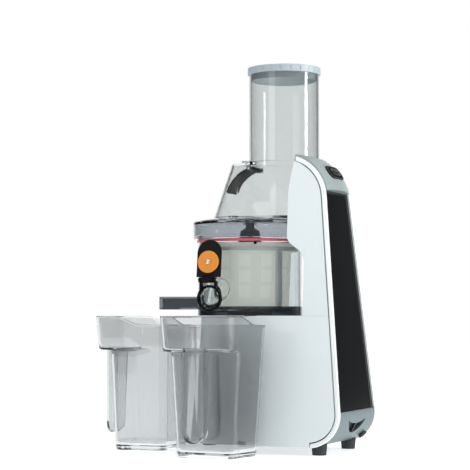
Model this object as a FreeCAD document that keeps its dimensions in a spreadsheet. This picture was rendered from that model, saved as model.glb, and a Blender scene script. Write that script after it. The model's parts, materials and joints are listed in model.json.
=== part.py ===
import FreeCAD, Part
import math
import os
import Sketcher

# Cold press juicer. Millimetres, +Z up. The origin is the bowl's axis on the surface that the
# feet stand on. +Y is the tower, +X the side of the capped spout.

doc = FreeCAD.newDocument("cold_press_juicer")
sheet = doc.addObject("Spreadsheet::Sheet", "sizes")

DRIVING_SIZES = [
    # Base and tower
    ("foot_height", 7.0),
    ("base_half_width", 70.0),
    ("side_lean", 0.0885),
    ("shelf_height", 154.0),
    ("shell_wall", 2.5),
    ("back_foot_line", 136.7),
    ("back_lean", 0.0945),
    ("heel_radius", 36.0),
    ("shoulder_radius", 53.0),
    ("shoulder_height", 289.0),
    ("tip_depth", 72.0),
    ("trim_width", 5.0),
    ("trim_thickness", 4.0),
    ("trim_gap", 1.2),
    ("spine_inset", 2.5),
    ("spine_thickness", 3.0),
    ("spine_bottom", 48.0),
    ("spine_top", 295.0),
    ("crown_height", 7.0),
    # Bowl
    ("bowl_radius", 60.5),
    ("bowl_wall", 3.0),
    ("bowl_top", 242.6),
    ("band_height", 11.0),
    # Lid
    ("collar_overhang", 5.5),
    ("collar_height", 21.0),
    ("lid_wall", 2.8),
    ("lid_rise", 4.4),
    ("chute_radius", 40.8),
    ("chute_offset", 43.0),
    ("chute_top", 433.0),
    ("hopper_top", 331.0),
    ("hopper_base_radius", 42.0),
    ("hopper_top_radius", 21.0),
    ("ring_height", 8.0),
    # Outlets
    ("mouth_angle", -2.0),
    ("mouth_radius", 13.8),
    ("mouth_reach", 79.0),
    ("mouth_side", -16.0),
    ("mouth_height", 174.0),
    ("pulp_angle", -75.0),
    ("pulp_reach", 105.0),
    ("pulp_width", 25.0),
    # Jugs
    ("jug_height", 154.0),
    ("jug_wall", 2.4),
    ("jug_angle", -8.0),
    # Clearances
    ("gap", 0.3),
    ("running_gap", 0.4),
]

for row, (alias, value) in enumerate(DRIVING_SIZES, start=1):
    sheet.set(f"A{row}", alias)
    sheet.set(f"B{row}", str(value))
    sheet.setAlias(f"B{row}", alias)
doc.recompute()


class Size:
    """A length or ratio together with the spreadsheet formula that gives it."""

    def __init__(self, value, text):
        self.value = float(value)
        self.text = text

    def __float__(self):
        return self.value

    def __add__(self, other):
        other = as_size(other)
        return Size(self.value + other.value, f"({self.text} + {other.text})")

    def __radd__(self, other):
        return as_size(other) + self

    def __sub__(self, other):
        other = as_size(other)
        return Size(self.value - other.value, f"({self.text} - {other.text})")

    def __rsub__(self, other):
        return as_size(other) - self

    def __mul__(self, other):
        other = as_size(other)
        return Size(self.value * other.value, f"({self.text} * {other.text})")

    def __rmul__(self, other):
        return as_size(other) * self

    def __truediv__(self, other):
        other = as_size(other)
        return Size(self.value / other.value, f"({self.text} / {other.text})")

    def __neg__(self):
        return 0.0 - self


def as_size(number):
    if isinstance(number, Size):
        return number
    return Size(number, f"{float(number):.6f}" if number >= 0 else f"(0 - {-float(number):.6f})")


def cell(alias):
    return Size(sheet.get(alias), f"sizes.{alias}")


foot_height = cell("foot_height")
base_half_width = cell("base_half_width")
side_lean = cell("side_lean")
shelf_height = cell("shelf_height")
shell_wall = cell("shell_wall")
back_foot_line = cell("back_foot_line")
back_lean = cell("back_lean")
heel_radius = cell("heel_radius")
shoulder_radius = cell("shoulder_radius")
shoulder_height = cell("shoulder_height")
tip_depth = cell("tip_depth")
trim_width = cell("trim_width")
trim_thickness = cell("trim_thickness")
trim_gap = cell("trim_gap")
spine_inset = cell("spine_inset")
spine_thickness = cell("spine_thickness")
spine_bottom = cell("spine_bottom")
spine_top = cell("spine_top")
crown_height = cell("crown_height")
bowl_radius = cell("bowl_radius")
bowl_wall = cell("bowl_wall")
bowl_top = cell("bowl_top")
band_height = cell("band_height")
collar_radius = bowl_radius + cell("collar_overhang")
collar_height = cell("collar_height")
lid_wall = cell("lid_wall")
lid_rise = cell("lid_rise")
chute_radius = cell("chute_radius")
chute_offset = cell("chute_offset")
chute_top = cell("chute_top")
hopper_top = cell("hopper_top")
hopper_base_radius = cell("hopper_base_radius")
hopper_top_radius = cell("hopper_top_radius")
ring_height = cell("ring_height")
mouth_angle = cell("mouth_angle")
mouth_side = cell("mouth_side")
mouth_radius = cell("mouth_radius")
mouth_reach = cell("mouth_reach")
mouth_height = cell("mouth_height")
pulp_angle = cell("pulp_angle")
pulp_reach = cell("pulp_reach")
pulp_width = cell("pulp_width")
jug_height = cell("jug_height")
jug_wall = cell("jug_wall")
jug_angle = cell("jug_angle")
gap = cell("gap")
running_gap = cell("running_gap")

nodes = []


def keep(feature, label):
    """Name a finished sub-part after its node and put it on the list to be written."""
    feature.Label = label
    nodes.append(feature)
    return feature


def stand(feature, base, way):
    """Put a turned piece's axis on the line that leaves the base point along the way."""
    feature.Placement = FreeCAD.Placement(base, FreeCAD.Rotation(FreeCAD.Vector(0, 0, 1), way))


def origin_plane(body, role):
    return next(part for part in body.Origin.OriginFeatures if part.Role == role)


def outline_sketch(body, name, points, role):
    """A closed outline of straight lines, each corner held by its two distances."""
    sketch = body.newObject("Sketcher::SketchObject", name)
    sketch.AttachmentSupport = (origin_plane(body, role), [""])
    sketch.MapMode = "FlatFace"
    corners = [FreeCAD.Vector(float(across), float(up), 0) for across, up in points]
    count = len(corners)
    for index in range(count):
        line = Part.LineSegment(corners[index], corners[(index + 1) % count])
        sketch.addGeometry(line, False)
    for index in range(count):
        sketch.addConstraint(Sketcher.Constraint("Coincident", index, 2, (index + 1) % count, 1))
    for index, (across, up) in enumerate(points):
        for kind, value in (("DistanceX", across), ("DistanceY", up)):
            number = sketch.addConstraint(Sketcher.Constraint(kind, index, 1, float(value)))
            if isinstance(value, Size):
                sketch.setExpression(f"Constraints[{number}]", value.text)
    return sketch


def turned(label, points, degrees=360.0):
    """A turned piece: an outline of (radius, height) corners swept round the body's Z axis."""
    body = doc.addObject("PartDesign::Body", label)
    sketch = outline_sketch(body, f"{label}_profile", points, "XZ_Plane")
    solid = body.newObject("PartDesign::Revolution", f"{label}_turn")
    solid.Profile = sketch
    solid.ReferenceAxis = (sketch, ["V_Axis"])
    solid.Angle = degrees
    return keep(body, label)


def turned_rod(label, radius, base, way, length, hole=0.0):
    """A round bar or ring along the way, made as a turned piece and then stood in place."""
    body = turned(label, [(hole, 0), (radius, 0), (radius, length), (hole, length)])
    stand(body, base, way)
    return body


def shaped(label, shape):
    """A piece whose form has no single feature: its shape is worked out from the sheet."""
    feature = doc.addObject("Part::Feature", label)
    feature.Shape = shape
    return keep(feature, label)


def vector(x, y, z):
    return FreeCAD.Vector(float(x), float(y), float(z))


def rod(radius, start, end):
    """A plain round bar between two points."""
    along = end - start
    return Part.makeCylinder(float(radius), along.Length, start, along)


def ring(outer, inner, low, high):
    """A plain ring about the bowl's axis."""
    low = float(low)
    high = float(high)
    solid = Part.makeCylinder(float(outer), high - low, vector(0, 0, low))
    return solid.cut(Part.makeCylinder(float(inner), high - low + 2, vector(0, 0, low - 1)))


def turn_about_z(shape, degrees):
    turned_shape = shape.copy()
    turned_shape.rotate(vector(0, 0, 0), vector(0, 0, 1), float(degrees))
    return turned_shape


# Housing: the outer block, whose sides lean inwards and whose front is round about the bowl


def half_width(height):
    return float(base_half_width) - float(side_lean) * float(height)


BLOCK_TOP = 345.0
BLOCK_BACK = 150.0


def plan_wire(height, inset):
    """The housing's plan at one height: a half round front and two straight sides."""
    radius = half_width(height) - inset
    left = vector(-radius, 0, height)
    right = vector(radius, 0, height)
    nose = Part.Arc(left, vector(0, -radius, height), right).toShape()
    back = Part.makePolygon([right, vector(radius, BLOCK_BACK, height),
                             vector(-radius, BLOCK_BACK, height), left])
    return Part.Wire([nose] + back.Edges)


def leaning_block(inset):
    return Part.makeLoft([plan_wire(0, inset), plan_wire(BLOCK_TOP, inset)], True, True)


def back_depth(height):
    return float(back_foot_line) - float(back_lean) * float(height)


def side_region(inset, front, width=200.0):
    """A slab across X: the side view of the housing, its rear outline drawn in by inset."""
    lean = math.atan(float(back_lean))
    out = vector(0, math.cos(lean), math.sin(lean))
    shoulder_end = vector(0, back_depth(shoulder_height), shoulder_height)
    shoulder_middle = shoulder_end - out * float(shoulder_radius)
    heel_start = vector(0, back_depth(spine_bottom), spine_bottom)
    heel_middle = heel_start - out * float(heel_radius)
    big = float(shoulder_radius) - inset
    small = float(heel_radius) - inset
    tip_across = float(tip_depth) - shoulder_middle.y
    tip = shoulder_middle + vector(0, tip_across, math.sqrt(big ** 2 - tip_across ** 2))
    tip_turn = math.atan2(tip_across, tip.z - shoulder_middle.z)
    middle_turn = (tip_turn + math.pi / 2 - lean) / 2
    shoulder_point = shoulder_middle + vector(0, math.sin(middle_turn), math.cos(middle_turn)) * big
    shoulder_end = shoulder_middle + out * big
    heel_start = heel_middle + out * small
    heel_turn = (lean - math.pi / 2) / 2
    heel_point = heel_middle + vector(0, math.cos(heel_turn), math.sin(heel_turn)) * small
    heel_end = heel_middle + vector(0, 0, -small)
    edges = [
        Part.Arc(tip, shoulder_point, shoulder_end).toShape(),
        Part.makeLine(shoulder_end, heel_start),
        Part.Arc(heel_start, heel_point, heel_end).toShape(),
        Part.makeLine(heel_end, vector(0, front, heel_end.z)),
        Part.makeLine(vector(0, front, heel_end.z), vector(0, front, tip.z)),
        Part.makeLine(vector(0, front, tip.z), tip),
    ]
    face = Part.Face(Part.Wire(edges))
    face.translate(vector(-width / 2, 0, 0))
    return face.extrude(vector(width, 0, 0))


def box_between(low, high):
    size = high - low
    return Part.makeBox(size.x, size.y, size.z, low)


trim_total = float(trim_width) + float(trim_gap)
wall = float(shell_wall)
HOUSING_FRONT = -90.0
TRIM_FRONT = 99.0
outer_block = leaning_block(0.0)
inner_block = leaning_block(wall)
panel_region = side_region(trim_total, HOUSING_FRONT)
rim_level = panel_region.BoundBox.ZMin
base_bottom = float(foot_height) + 2.0
seam = float(shelf_height)

heel_front = TRIM_FRONT - float(trim_gap)
skirt = box_between(vector(-90, -90, base_bottom), vector(90, heel_front, rim_level + 12))
skirt_room = box_between(vector(-90, -90, base_bottom - 1), vector(90, heel_front - wall, rim_level + 12))
base_solid = outer_block.common(panel_region.fuse(skirt))
base_solid = base_solid.common(box_between(vector(-90, -90, base_bottom), vector(90, 150, seam)))
base_room = inner_block.common(side_region(trim_total + wall, HOUSING_FRONT + 1).fuse(skirt_room))
base_room = base_room.common(box_between(vector(-90, -90, base_bottom - 1), vector(90, 150, seam - wall)))
back_opening = box_between(vector(-90, 100, base_bottom - 1), vector(90, 150, seam - wall))
back_opening = back_opening.common(leaning_block(trim_total + float(gap)))
tower_well = box_between(vector(-90, 92, seam - wall - 1), vector(90, 150, seam + 1))
tower_well = tower_well.common(inner_block).common(side_region(trim_total + wall, 0))
HUB_RADIUS = 21.0
hub_hole = Part.makeCylinder(HUB_RADIUS, 20, vector(0, 0, seam - 10))
base_shell = base_solid.cut(base_room).cut(back_opening).cut(tower_well).cut(hub_hole)
shaped("base_shell", base_shell)

# Tower: its front steps back above the shelf and is hollowed round the lid and the chute

TOWER_FRONT = 85.4
NECK_FRONT = 64.3
NECK_BOTTOM = 245.0
STEP_TOP = 211.0


def tower_front_region(inset, top=BLOCK_TOP):
    """A slab across X behind the tower's front line, drawn in by inset."""
    low_front = TOWER_FRONT + inset
    neck = NECK_FRONT + inset
    step_edge = Part.BezierCurve()
    step_edge.setPoles([vector(0, low_front, STEP_TOP), vector(0, low_front, STEP_TOP + 24),
                        vector(0, neck, NECK_BOTTOM - 16), vector(0, neck, NECK_BOTTOM)])
    lip = vector(0, float(tip_depth) + inset, float(shoulder_height) + 46)
    edges = [
        Part.makeLine(vector(0, low_front, seam - 5), vector(0, low_front, STEP_TOP)),
        step_edge.toShape(),
        Part.makeLine(vector(0, neck, NECK_BOTTOM), vector(0, neck, 296)),
        Part.Arc(vector(0, neck, 296), vector(0, neck + 2.4, 311), lip).toShape(),
        Part.makeLine(lip, vector(0, lip.y, top)),
        Part.makeLine(vector(0, lip.y, top), vector(0, BLOCK_BACK, top)),
        Part.makeLine(vector(0, BLOCK_BACK, top), vector(0, BLOCK_BACK, seam - 5)),
        Part.makeLine(vector(0, BLOCK_BACK, seam - 5), vector(0, low_front, seam - 5)),
    ]
    face = Part.Face(Part.Wire(edges))
    face.translate(vector(-100, 0, 0))
    return face.extrude(vector(200, 0, 0))


LID_CLEARANCE = 1.6
collar_bottom = float(bowl_top)
saddle = Part.makeCylinder(float(collar_radius) + LID_CLEARANCE, 150, vector(0, 0, seam - 2))
chute_saddle = Part.makeCylinder(float(chute_radius) + LID_CLEARANCE, 120,
                                 vector(0, chute_offset, collar_bottom))
saddle_wall = Part.makeCylinder(float(collar_radius) + LID_CLEARANCE + wall, 160,
                                vector(0, 0, seam - 4))
chute_saddle_wall = Part.makeCylinder(float(chute_radius) + LID_CLEARANCE + wall, 130,
                                      vector(0, chute_offset, collar_bottom - wall))
tower_solid = outer_block.common(panel_region).common(tower_front_region(0.0))
tower_solid = tower_solid.common(box_between(vector(-90, 0, seam), vector(90, 150, BLOCK_TOP)))
tower_solid = tower_solid.cut(saddle).cut(chute_saddle)
tower_room = inner_block.common(side_region(trim_total + wall, 0)).common(tower_front_region(wall))
tower_room = tower_room.common(box_between(vector(-90, 0, seam - 1), vector(90, 150, BLOCK_TOP)))
tower_room = tower_room.cut(saddle_wall).cut(chute_saddle_wall)
tower_back = box_between(vector(-90, 92, seam - 1), vector(90, 150, BLOCK_TOP))
tower_back = tower_back.common(leaning_block(trim_total + float(gap)))
tower_shell = tower_solid.cut(tower_room).cut(tower_back)
shaped("tower_shell", tower_shell)

# Side trims: a bead that runs from the tip over the shoulder, down the back and round the heel

PROUD = 0.7
trim_band = side_region(0.0, 0).cut(side_region(float(trim_width), -5))
trim_block = leaning_block(-PROUD).cut(leaning_block(float(trim_thickness)))
trim_limit = box_between(vector(-90, TRIM_FRONT, 0), vector(90, 150, 60))
trim_limit = trim_limit.fuse(box_between(vector(-90, float(tip_depth), 59), vector(90, 150, BLOCK_TOP)))
trim_shape = trim_band.common(trim_block).common(trim_limit)
for label, sign in (("side_trim_left", -1), ("side_trim_right", 1)):
    half = box_between(vector(min(0, sign * 90), -90, 0), vector(max(0, sign * 90), 150, BLOCK_TOP))
    shaped(label, trim_shape.common(half))

# Spine, rear cover and cap: they close the back between the two trims

back_block = leaning_block(float(trim_thickness) + float(gap))
spine_out = float(spine_inset)
spine_in = spine_out + float(spine_thickness)
spine_band = side_region(spine_out, 0).cut(side_region(spine_in, -5)).common(back_block)
spine_slot = box_between(vector(-90, 90, spine_bottom), vector(90, 150, spine_top))
shaped("back_spine", spine_band.common(spine_slot))

COVER_PROUD = 0.8
heel_band = side_region(COVER_PROUD, 0).cut(side_region(COVER_PROUD + 3.0, -5)).common(back_block)
heel_limit = box_between(vector(-90, TRIM_FRONT, 0), vector(90, 150, float(spine_bottom) - float(gap)))
rear_cover = heel_band.common(heel_limit)
VENT_HALF_WIDTH = 30.0
VENT_HEIGHT = 15.0
vent_level = 30.0


def smile(half, height, low, depth_low, depth_high):
    """A crescent-like opening: a flat arc on top and a deeper one below."""
    left = vector(-half, depth_low, low + height)
    right = vector(half, depth_low, low + height)
    top = Part.Arc(left, vector(0, depth_low, low + height * 0.72), right).toShape()
    bottom = Part.Arc(right, vector(0, depth_low, low), left).toShape()
    return Part.Face(Part.Wire([top, bottom])).extrude(vector(0, depth_high - depth_low, 0))


vent_cut = smile(VENT_HALF_WIDTH, VENT_HEIGHT, vent_level - VENT_HEIGHT / 2, 90, 150)
GLAND_RADIUS = 4.6
GLAND_SIDE = -48.0
GLAND_TURN = math.radians(42)
heel_depth = back_depth(spine_bottom) - float(heel_radius) * math.cos(math.atan(float(back_lean)))
heel_level = float(spine_bottom) - float(heel_radius) * math.sin(math.atan(float(back_lean)))
gland_way = vector(0, math.sin(GLAND_TURN), -math.cos(GLAND_TURN))
gland_start = vector(GLAND_SIDE, heel_depth, heel_level) + gland_way * (float(heel_radius) - 8)
rear_cover = rear_cover.cut(vent_cut)
rear_cover = rear_cover.cut(rod(GLAND_RADIUS + 0.05, gland_start, gland_start + gland_way * 20))
shaped("rear_bottom_cover", rear_cover)
turned("cord_gland", [(2.6, 0), (GLAND_RADIUS + 1.4, 0), (GLAND_RADIUS + 1.4, 3.4),
                      (GLAND_RADIUS, 3.4), (GLAND_RADIUS, 8.0), (GLAND_RADIUS + 1.2, 8.8),
                      (GLAND_RADIUS + 0.4, 10.4), (2.6, 10.8)])
stand(nodes[-1], gland_start, gland_way)
vent_plate = side_region(COVER_PROUD + 3.0, 0).cut(side_region(COVER_PROUD + 5.0, -5))
vent_plate = vent_plate.common(smile(VENT_HALF_WIDTH + 3, VENT_HEIGHT + 4, vent_level - 9.5, 90, 150))
slot_count = 7
for index in range(slot_count):
    across = (index - (slot_count - 1) / 2) * 7.4
    if abs(across) > 2:
        vent_plate = vent_plate.cut(box_between(vector(across - 1.4, 90, vent_level - 3),
                                                vector(across + 1.4, 150, vent_level + 3)))
vent_rib = side_region(COVER_PROUD + 0.6, 0).cut(side_region(COVER_PROUD + 3.2, -5))
vent_rib = vent_rib.common(smile(VENT_HALF_WIDTH - 2, VENT_HEIGHT - 3, vent_level - 5.6, 90, 150))
vent_rib = vent_rib.common(box_between(vector(-1.6, 90, 0), vector(1.6, 150, 60)))
shaped("vent_insert", vent_plate.fuse(vent_rib).common(back_block))

# Top cap: a crowned shell turned about the shoulder's own axis and trimmed to the leaning sides

lean_angle = math.atan(float(back_lean))
cap_axis_depth = back_depth(shoulder_height) - float(shoulder_radius) * math.cos(lean_angle)
cap_axis_height = float(shoulder_height) - float(shoulder_radius) * math.sin(lean_angle)
cap_half = half_width(float(spine_top)) + 2
rim = float(shoulder_radius) - 1.0
crown = float(crown_height)


def crown_face(rim_radius, crown_rise, inner_radius):
    left = vector(-cap_half, 0, rim_radius)
    right = vector(cap_half, 0, rim_radius)
    arch = Part.Arc(left, vector(0, 0, rim_radius + crown_rise), right).toShape()
    base = Part.makePolygon([right, vector(cap_half, 0, inner_radius),
                             vector(-cap_half, 0, inner_radius), left])
    return Part.Face(Part.Wire([arch] + base.Edges))


cap_start = math.degrees(math.asin((float(tip_depth) - 3 - cap_axis_depth) / (rim + crown)))
cap_end = math.degrees(math.acos((float(spine_top) + float(gap) - cap_axis_height) / rim))


def crown_sector(rim_radius, crown_rise, inner_radius, start, end):
    face = crown_face(rim_radius, crown_rise, inner_radius)
    solid = face.revolve(vector(0, 0, 0), vector(1, 0, 0), -(end - start))
    solid.rotate(vector(0, 0, 0), vector(1, 0, 0), -start)
    solid.translate(vector(0, cap_axis_depth, cap_axis_height))
    return solid


top_cap = crown_sector(rim, crown, rim - 4.5, cap_start, cap_end)
top_cap = top_cap.common(leaning_block(float(trim_thickness) + float(gap)))
cap_foot = box_between(vector(-90, 0, 250), vector(90, 150, float(spine_top) + float(gap)))
top_cap = top_cap.cut(chute_saddle_wall).cut(cap_foot).cut(tower_shell)
switch_turn = 55.0
switch_out = vector(0, math.sin(math.radians(switch_turn)), math.cos(math.radians(switch_turn)))
switch_seat = vector(0, cap_axis_depth, cap_axis_height) + switch_out * (rim + crown)
SWITCH_HALF = 13.0
SWITCH_WIDE = 9.0


def stadium(half_length, radius, centre, normal, thickness):
    """A rounded bar shape along X, standing on the cap's surface."""
    shape = Part.makeCylinder(radius, thickness, vector(-half_length, 0, 0), vector(0, 0, 1))
    shape = shape.fuse(Part.makeCylinder(radius, thickness, vector(half_length, 0, 0), vector(0, 0, 1)))
    middle = Part.makeBox(2 * half_length, 2 * radius, thickness, vector(-half_length, -radius, 0))
    shape = shape.fuse(middle).removeSplitter()
    shape.rotate(vector(0, 0, 0), vector(1, 0, 0), -math.degrees(math.atan2(normal.y, normal.z)))
    shape.translate(centre)
    return shape


bezel_hole = stadium(SWITCH_HALF, SWITCH_WIDE, switch_seat - switch_out * 12, switch_out, 20)
top_cap = top_cap.cut(bezel_hole)
shaped("top_cap", top_cap)
bezel = stadium(SWITCH_HALF, SWITCH_WIDE - float(gap), switch_seat - switch_out * 8, switch_out, 8.4)
bezel = bezel.cut(stadium(SWITCH_HALF - 2, SWITCH_WIDE - 2.2, switch_seat - switch_out * 6.4,
                          switch_out, 12))
pivot_spot = switch_seat - switch_out * 4.2
PIVOT_REACH = SWITCH_HALF + SWITCH_WIDE - 3.2
pivot_half = vector(PIVOT_REACH + 0.5, 0, 0)
bezel = bezel.cut(rod(1.3, pivot_spot - pivot_half, pivot_spot + pivot_half))
rocker = stadium(SWITCH_HALF - 3.2, SWITCH_WIDE - 4.2, switch_seat - switch_out * 5.4, switch_out, 6.6)
rocker_ridge = stadium(SWITCH_HALF - 4.4, 1.3, switch_seat + switch_out * 1.0, switch_out, 2.0)
rocker_pivot = rod(1.0, pivot_spot - vector(PIVOT_REACH, 0, 0), pivot_spot + vector(PIVOT_REACH, 0, 0))
shaped("switch_bezel", bezel)
shaped("power_switch", rocker.multiFuse([rocker_ridge, rocker_pivot]))

# Underside: the plate, its screws and four rubber feet

plate_block = leaning_block(wall + float(gap))
plate_low = base_bottom + 0.5
plate_back = heel_front - wall - float(gap)
bottom_plate = plate_block.common(
    box_between(vector(-90, -90, plate_low), vector(90, plate_back, plate_low + 3)))
for index in range(9):
    across = (index - 4) * 7.0
    bottom_plate = bottom_plate.cut(box_between(vector(across - 1.5, -24, 0),
                                                vector(across + 1.5, 24, 40)))
shaped("bottom_plate", bottom_plate)
FRONT_FEET = [(-44, -32), (44, -32)]
REAR_FEET = [(-50, 103), (50, 103)]
SCREW_SPOTS = [(-28, -32), (28, -32), (-34, 84), (34, 84)]
FOOT_RADIUS = 9.0
FOOT_RECESS = 3.2
foot_top = plate_low - float(gap) / 3
heel_solid = side_region(COVER_PROUD, 0).common(back_block)
feet = []
screws = []
for across, along in FRONT_FEET:
    feet.append(Part.makeCone(FOOT_RADIUS - 1.2, FOOT_RADIUS, foot_top, vector(across, along, 0)))
for across, along in REAR_FEET:
    foot = Part.makeCone(FOOT_RADIUS - 1.2, FOOT_RADIUS, foot_top + 3, vector(across, along, 0))
    feet.append(foot.cut(heel_solid).cut(base_solid))
for index, (across, along) in enumerate(FRONT_FEET + REAR_FEET):
    feet[index] = feet[index].cut(Part.makeCylinder(FOOT_RECESS, 2.4, vector(across, along, 0)))
for across, along in SCREW_SPOTS:
    spot = vector(across, along, plate_low - 2.0)
    head = Part.makeCylinder(3.2, 1.9, spot)
    screws.append(head.cut(Part.makeBox(4, 0.9, 1.2, spot + vector(-2, -0.45, 0))))
shaped("rubber_feet", Part.makeCompound(feet))
shaped("bottom_plate_screws", Part.makeCompound(screws))

# Drive: motor, gearbox and shaft stand on the bowl's axis

MOTOR_RADIUS = 42.0
motor_low = plate_low + 18.0
stack_low = motor_low + 8.0
stack_high = stack_low + 38.0
gearbox_low = stack_high + 12.0
gearbox_high = seam - 10.0
plate_top = plate_low + 3.0

turned("motor_stator", [(MOTOR_RADIUS - 18, stack_low), (MOTOR_RADIUS, stack_low),
                        (MOTOR_RADIUS, stack_high), (MOTOR_RADIUS - 18, stack_high)])
turned("motor_windings_low", [(MOTOR_RADIUS - 16, stack_low - 7), (MOTOR_RADIUS - 4, stack_low - 7),
                              (MOTOR_RADIUS - 4, stack_low), (MOTOR_RADIUS - 16, stack_low)])
turned("motor_windings_high", [(MOTOR_RADIUS - 16, stack_high), (MOTOR_RADIUS - 4, stack_high),
                               (MOTOR_RADIUS - 4, stack_high + 7), (MOTOR_RADIUS - 16, stack_high + 7)])
turned("motor_rotor", [(0, plate_top + 2), (3, plate_top + 2), (3, stack_low),
                       (MOTOR_RADIUS - 18 - running_gap, stack_low),
                       (MOTOR_RADIUS - 18 - running_gap, stack_high), (4, stack_high), (4, gearbox_low - 0.4),
                       (0, gearbox_low - 0.4)])
fan_blades = []
fan_low = plate_top + 4.0
for index in range(9):
    blade = Part.makeBox(22, 1.2, 8, vector(8, -0.6, fan_low))
    blade.rotate(vector(8, 0, fan_low), vector(1, 0, 0), 18)
    fan_blades.append(turn_about_z(blade, index * 40))
fan = Part.makeCylinder(9.5, 8, vector(0, 0, fan_low)).multiFuse(fan_blades)
fan = fan.cut(Part.makeCylinder(3.0, 20, vector(0, 0, fan_low - 5)))
shaped("cooling_fan", fan)
bracket = ring(MOTOR_RADIUS + 3, MOTOR_RADIUS + 0.05, stack_low, gearbox_low)
for index in range(4):
    leg = box_between(vector(MOTOR_RADIUS - 1, -5, plate_top + 0.1), vector(MOTOR_RADIUS + 5, 5, stack_low))
    bracket = bracket.fuse(turn_about_z(leg, 45 + 90 * index))
shaped("motor_bracket", bracket)
turned("gearbox_case", [(0, gearbox_low), (MOTOR_RADIUS + 4, gearbox_low),
                        (MOTOR_RADIUS + 4, gearbox_high - 8),
                        (MOTOR_RADIUS - 6, gearbox_high), (14, gearbox_high), (14, gearbox_high - 8),
                        (0, gearbox_high - 8)])
gear_screws = []
for index in range(4):
    spot = vector((MOTOR_RADIUS - 10) * math.cos(math.radians(45 + 90 * index)),
                  (MOTOR_RADIUS - 10) * math.sin(math.radians(45 + 90 * index)), gearbox_high)
    head = Part.makeCylinder(3.5, 2.6, spot)
    gear_screws.append(head.cut(Part.makeBox(5, 1, 1.2, spot + vector(-2.5, -0.5, 1.5))))
shaped("gearbox_screws", Part.makeCompound(gear_screws))
SHAFT_RADIUS = 7.0
bearing_low = gearbox_high - 7.9
turned("output_bearing", [(SHAFT_RADIUS + 0.05, bearing_low), (13.95, bearing_low),
                          (13.95, gearbox_high), (SHAFT_RADIUS + 0.05, gearbox_high)])
SHAFT_TOP = 180.0
hexagon = Part.makePolygon([vector(SHAFT_RADIUS * 0.92 * math.cos(math.radians(60 * step)),
                                   SHAFT_RADIUS * 0.92 * math.sin(math.radians(60 * step)), seam + 4)
                            for step in range(7)])
hex_bar = Part.Face(hexagon).extrude(vector(0, 0, SHAFT_TOP - seam - 4))
drive_shaft = Part.makeCylinder(SHAFT_RADIUS, seam + 4 - bearing_low - 0.3, vector(0, 0, bearing_low + 0.3))
shaped("drive_shaft", drive_shaft.fuse(hex_bar))
turned("shaft_seal", [(SHAFT_RADIUS + 0.1, gearbox_high + 0.05), (HUB_RADIUS - 1, gearbox_high + 0.05),
                      (HUB_RADIUS - 0.3, seam - 4), (HUB_RADIUS - 0.3, seam - 0.2),
                      (HUB_RADIUS - 4, seam - 0.2),
                      (SHAFT_RADIUS + 0.1, seam - 3)])
board = box_between(vector(-24, 96.5, 190), vector(24, 98.5, 250))
for low_z, across, tall in ((195, -18, 14), (212, 4, 10), (228, -12, 12), (236, 12, 8)):
    board = board.fuse(box_between(vector(across, 90, low_z), vector(across + 10, 96.5, low_z + tall)))
BOARD_POST_START = TOWER_FRONT + wall + 0.1
for across in (-20, 20):
    for level in (196, 206):
        post = Part.makeCylinder(2.2, 97 - BOARD_POST_START, vector(across, BOARD_POST_START, level),
                                 vector(0, 1, 0))
        board = board.fuse(post)
shaped("control_board", board)

# Bowl: a clear turned cup with a round port for the spout and a flat one for the chute

bowl_low = seam + float(gap)
BOWL_FLOOR = 4.0
BORE_RADIUS = 10.0
HUB_SEAL_RADIUS = 19.0
bowl_inner = float(bowl_radius) - float(bowl_wall)


def turned_shape(points):
    corners = [vector(radius, 0, height) for radius, height in points]
    face = Part.Face(Part.makePolygon(corners + corners[:1]))
    return face.revolve(vector(0, 0, 0), vector(0, 0, 1), 360)


rim_seal_low = float(bowl_top) - 3.4
bowl_shape = turned_shape([
    (HUB_SEAL_RADIUS, bowl_low), (float(bowl_radius) - 1.6, bowl_low),
    (float(bowl_radius) - 1.6, bowl_low + float(band_height)),
    (float(bowl_radius), bowl_low + float(band_height)), (float(bowl_radius), rim_seal_low),
    (bowl_inner + 0.8, rim_seal_low), (bowl_inner + 0.8, float(bowl_top) - 0.8),
    (bowl_inner, float(bowl_top) - 0.8), (bowl_inner, bowl_low + BOWL_FLOOR + 3),
    (bowl_inner - 3, bowl_low + BOWL_FLOOR), (HUB_SEAL_RADIUS, bowl_low + BOWL_FLOOR)])
turn = math.radians(float(mouth_angle))
juice_out = vector(math.cos(turn), math.sin(turn), 0)
side_way = vector(-juice_out.y, juice_out.x, 0)
mouth_aside = side_way * float(mouth_side)
MOUTH_SLOPE = math.radians(26)
MOUTH_SWING = math.radians(18)
duct_way = (juice_out * math.cos(MOUTH_SWING) - side_way * math.sin(MOUTH_SWING)) * math.cos(MOUTH_SLOPE)
duct_way = duct_way + vector(0, 0, -math.sin(MOUTH_SLOPE))
MOUTH_THICK = 5.0
DUCT_WALL = 2.2
mouth_centre = juice_out * float(mouth_reach) + mouth_aside + vector(0, 0, float(mouth_height))
ring_back = mouth_centre - juice_out * MOUTH_THICK
duct_start = mouth_centre - duct_way * 38
duct_outer = float(mouth_radius) - 2.2
duct_hole = rod(duct_outer - DUCT_WALL, duct_start, mouth_centre + duct_way * 20)
bowl_shape = bowl_shape.cut(duct_hole)
PULP_LOW = 161.5
PULP_HIGH = 176.5
PULP_WALL = 2.0
pulp_half = float(pulp_width) / 2
pulp_cut = box_between(vector(50, -pulp_half + PULP_WALL, PULP_LOW + PULP_WALL),
                       vector(70, pulp_half - PULP_WALL, PULP_HIGH - PULP_WALL))
bowl_shape = bowl_shape.cut(turn_about_z(pulp_cut, pulp_angle))
shaped("juice_bowl", bowl_shape)
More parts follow.
